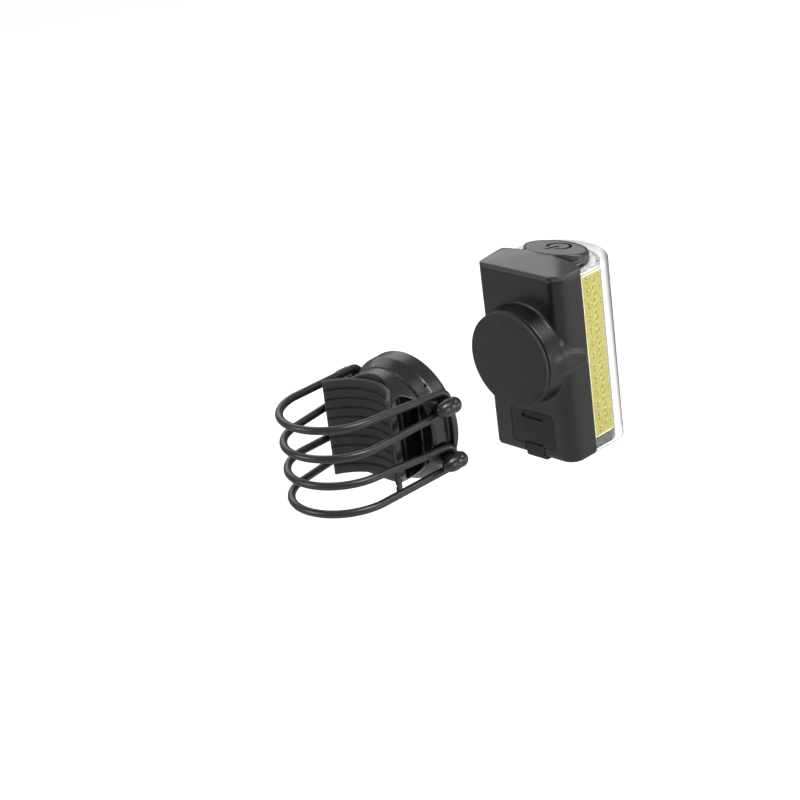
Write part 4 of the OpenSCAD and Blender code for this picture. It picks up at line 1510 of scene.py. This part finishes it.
    def trims(self) -> None:
        """Adds the contact pads and the pins at the lamp's top, and under the lens a grey line of painted
        shade where the lens wall's inner edge shows through its top.
        """
        plate = box_mm("reflector_plate")[1]
        pad_low, pad_high = (self.seam + x for x in self.pad_span)
        for side, word in SIDES.items():
            near, far = sorted((side * (plate.y - 0.9), side * (plate.y + 0.05)))
            pad = soft_edges(block((pad_low, near, plate.z - 0.5), (pad_high, far, plate.z + 0.06)), 0.12)
            settle(pad, "contact_pad_" + word, "tab_nickel", Finish.TINNED_PAD)
        # painted shade: a grey line on the reflector for the lens wall's inner edge, as seen through the
        # clear top; it borrows the pads' finish
        rim = self.path(0.7, self.seam + 6.5).points(80, plate.z)
        line = tube_along(rim, self.rim_line_w, closed=False, sides=3)
        edit(line)
        bpy.ops.transform.resize(value=(1, 1, 0.15), center_override=(0, 0, plate.z * MM))
        settle(line, "painted_lens_edge_line", "reflector_plastic", Finish.TINNED_PAD)
        for side, word in SIDES.items():
            pin = ellipse_block((self.seam + self.pin_place[0], side * self.pin_place[1]), 0.5, 0.5,
                                plate.z - 0.3, plate.z + 0.12, 32)
            settle(soft_edges(pin, 0.08), "pin_" + word, "reflector_plastic", Finish.CARRIER_NYLON)


class Electronics:
    """Boards, cell, switch and socket, which show only where the housing is open."""

    def build(self) -> None:
        """Rounds the edges of each piece and dresses it."""
        for node, slot, finish, radius in (
                ("battery", "cell_wrap", Finish.CELL_WRAP, 0.5),
                ("main_pcb", "circuit_board", Finish.GREEN_MASK, 0.1),
                ("pcb_parts", "chip_epoxy", Finish.CHIP_EPOXY, 0.15),
                ("switch_board", "circuit_board", Finish.GREEN_MASK, 0.1),
                ("tact_switch", "switch_plastic", Finish.SWITCH_NYLON, 0.15),
                ("usb_socket", "socket_steel", Finish.ZINC_STEEL, 0.12),
                ("usb_tongue", "tongue_plastic", Finish.TONGUE_NYLON, 0.08),
                ("battery_tabs", "tab_nickel", Finish.NICKEL_PLATE, 0.05)):
            settle(soft_edges(merged_copy(node), radius), node + "_finished", slot, finish, node)
        dress(Finish.ZINC_STEEL, "pcb_screws")


@dataclass
class Studio:
    """The pale floor, the white surroundings, the soft lamps and the camera."""

    floor_z: float = -220.0
    floor_white: str = "#e0e0e0"
    azimuth: float = -41.987
    elevation: float = 23.458
    roll: float = -7.433
    lens_mm: float = 104.62
    camera_place: Triple = (-417.90, -493.88, 294.01)
    surround: float = 0.27
    glow: float = 0.75
    aim: Triple = (60, 0, 0)
    # Name, place and side in millimetres, and power in watts
    lamps: tuple[tuple[str, Triple, float, float], ...] = (
        ("key", (90, -610, 950), 440, 4.8),
        ("back", (430, 840, 640), 800, 2.3),
        ("collar", (480, -670, 740), 260, 0.65),
        ("side", (820, -700, 0), 280, 1.0),
        ("front", (250, -950, -20), 260, 0.7),
        ("left", (-900, 500, 500), 450, 2.5),
    )

    def build(self) -> None:
        """Sets up the whole studio."""
        bpy.context.scene.view_settings.view_transform = "Standard"
        self.camera()
        self.world()
        self.floor()
        for lamp in self.lamps:
            self.lamp(*lamp)

    def camera(self) -> None:
        """Creates the camera where the photograph was taken from."""
        azimuth, elevation, roll = (math.radians(v) for v in (self.azimuth, self.elevation, self.roll))
        turn = (Matrix.Rotation(azimuth, 4, "Z") @ Matrix.Rotation(math.pi / 2 - elevation, 4, "X")
                @ Matrix.Rotation(roll, 4, "Z"))
        data = bpy.data.cameras.new("photo_camera")
        data.sensor_width = 36
        data.lens = self.lens_mm
        data.clip_start, data.clip_end = 0.01, 50
        camera = new_object("photo_camera", data)
        camera.matrix_world = Matrix.Translation(Vector(self.camera_place) * MM) @ turn
        bpy.context.scene.camera = camera

    def seen_directly(self, tree: Tree) -> Socket:
        """Returns a value of 1 where a surface is seen by the camera, alone or through glass.

        Args:
            tree: the material's or the world's node tree.

        Returns:
            The value.
        """
        path = add_node(tree, "ShaderNodeLightPath")
        both = add_node(tree, "ShaderNodeMath", {"operation": "MAXIMUM"},
                        {0: path.outputs["Is Camera Ray"], 1: path.outputs["Is Transmission Ray"]})
        return both.outputs["Value"]

    def world(self) -> None:
        """Makes the surroundings white to the eye and plain to the object."""
        world = bpy.data.worlds.new("studio")
        bpy.context.scene.world = world
        world.use_nodes = True
        tree = world.node_tree
        tree.nodes.clear()
        strength = add_node(tree, "ShaderNodeMapRange", {"To Min": self.surround, "To Max": 1.0},
                            {"Value": self.seen_directly(tree)})
        sky = add_node(tree, "ShaderNodeBackground", {"Color": (1, 1, 1, 1)},
                       {"Strength": strength.outputs["Result"]})
        add_node(tree, "ShaderNodeOutputWorld", links={"Surface": sky.outputs["Background"]})

    def floor(self) -> None:
        """Lays the pale floor, which keeps the object's shadow."""
        floor = primitive(bpy.ops.mesh.primitive_plane_add, (0, 0, self.floor_z), size=12)
        floor.name = "floor"
        surface = Surface("pale floor", {"Base Color": linear(self.floor_white), "Roughness": 1.0,
                                         "Emission Color": (1, 1, 1, 1)})
        glow = add_node(surface.tree, "ShaderNodeMath", {"operation": "MULTIPLY", 1: self.glow},
                        {0: self.seen_directly(surface.tree)})
        surface.feed("Emission Strength", glow.outputs["Value"])
        floor.data.materials.append(surface.material)

    def lamp(self, name: str, place: Place, size: float, power: float) -> None:
        """Hangs a square soft lamp that faces the object.

        Args:
            name: the lamp's name.
            place: its place in millimetres.
            size: the length of its side in millimetres.
            power: its power in watts.
        """
        data = bpy.data.lights.new(name, "AREA")
        data.shape = "SQUARE"
        data.size = size * MM
        data.energy = power
        lamp = new_object(name, data)
        lamp.location = Vector(place) * MM
        lamp.rotation_euler = (Vector(place) - Vector(self.aim)).to_track_quat("Z", "Y").to_euler()


def main() -> None:
    """Builds the studio and every piece, in order."""
    logging.basicConfig(level=logging.INFO, format="%(name)s: %(message)s")
    for part in (Studio, Bracket, RubberRings, Puck, Housing, CapAndButton, Lamp, Electronics):
        part().build()


if __name__ == "__main__":
    main()
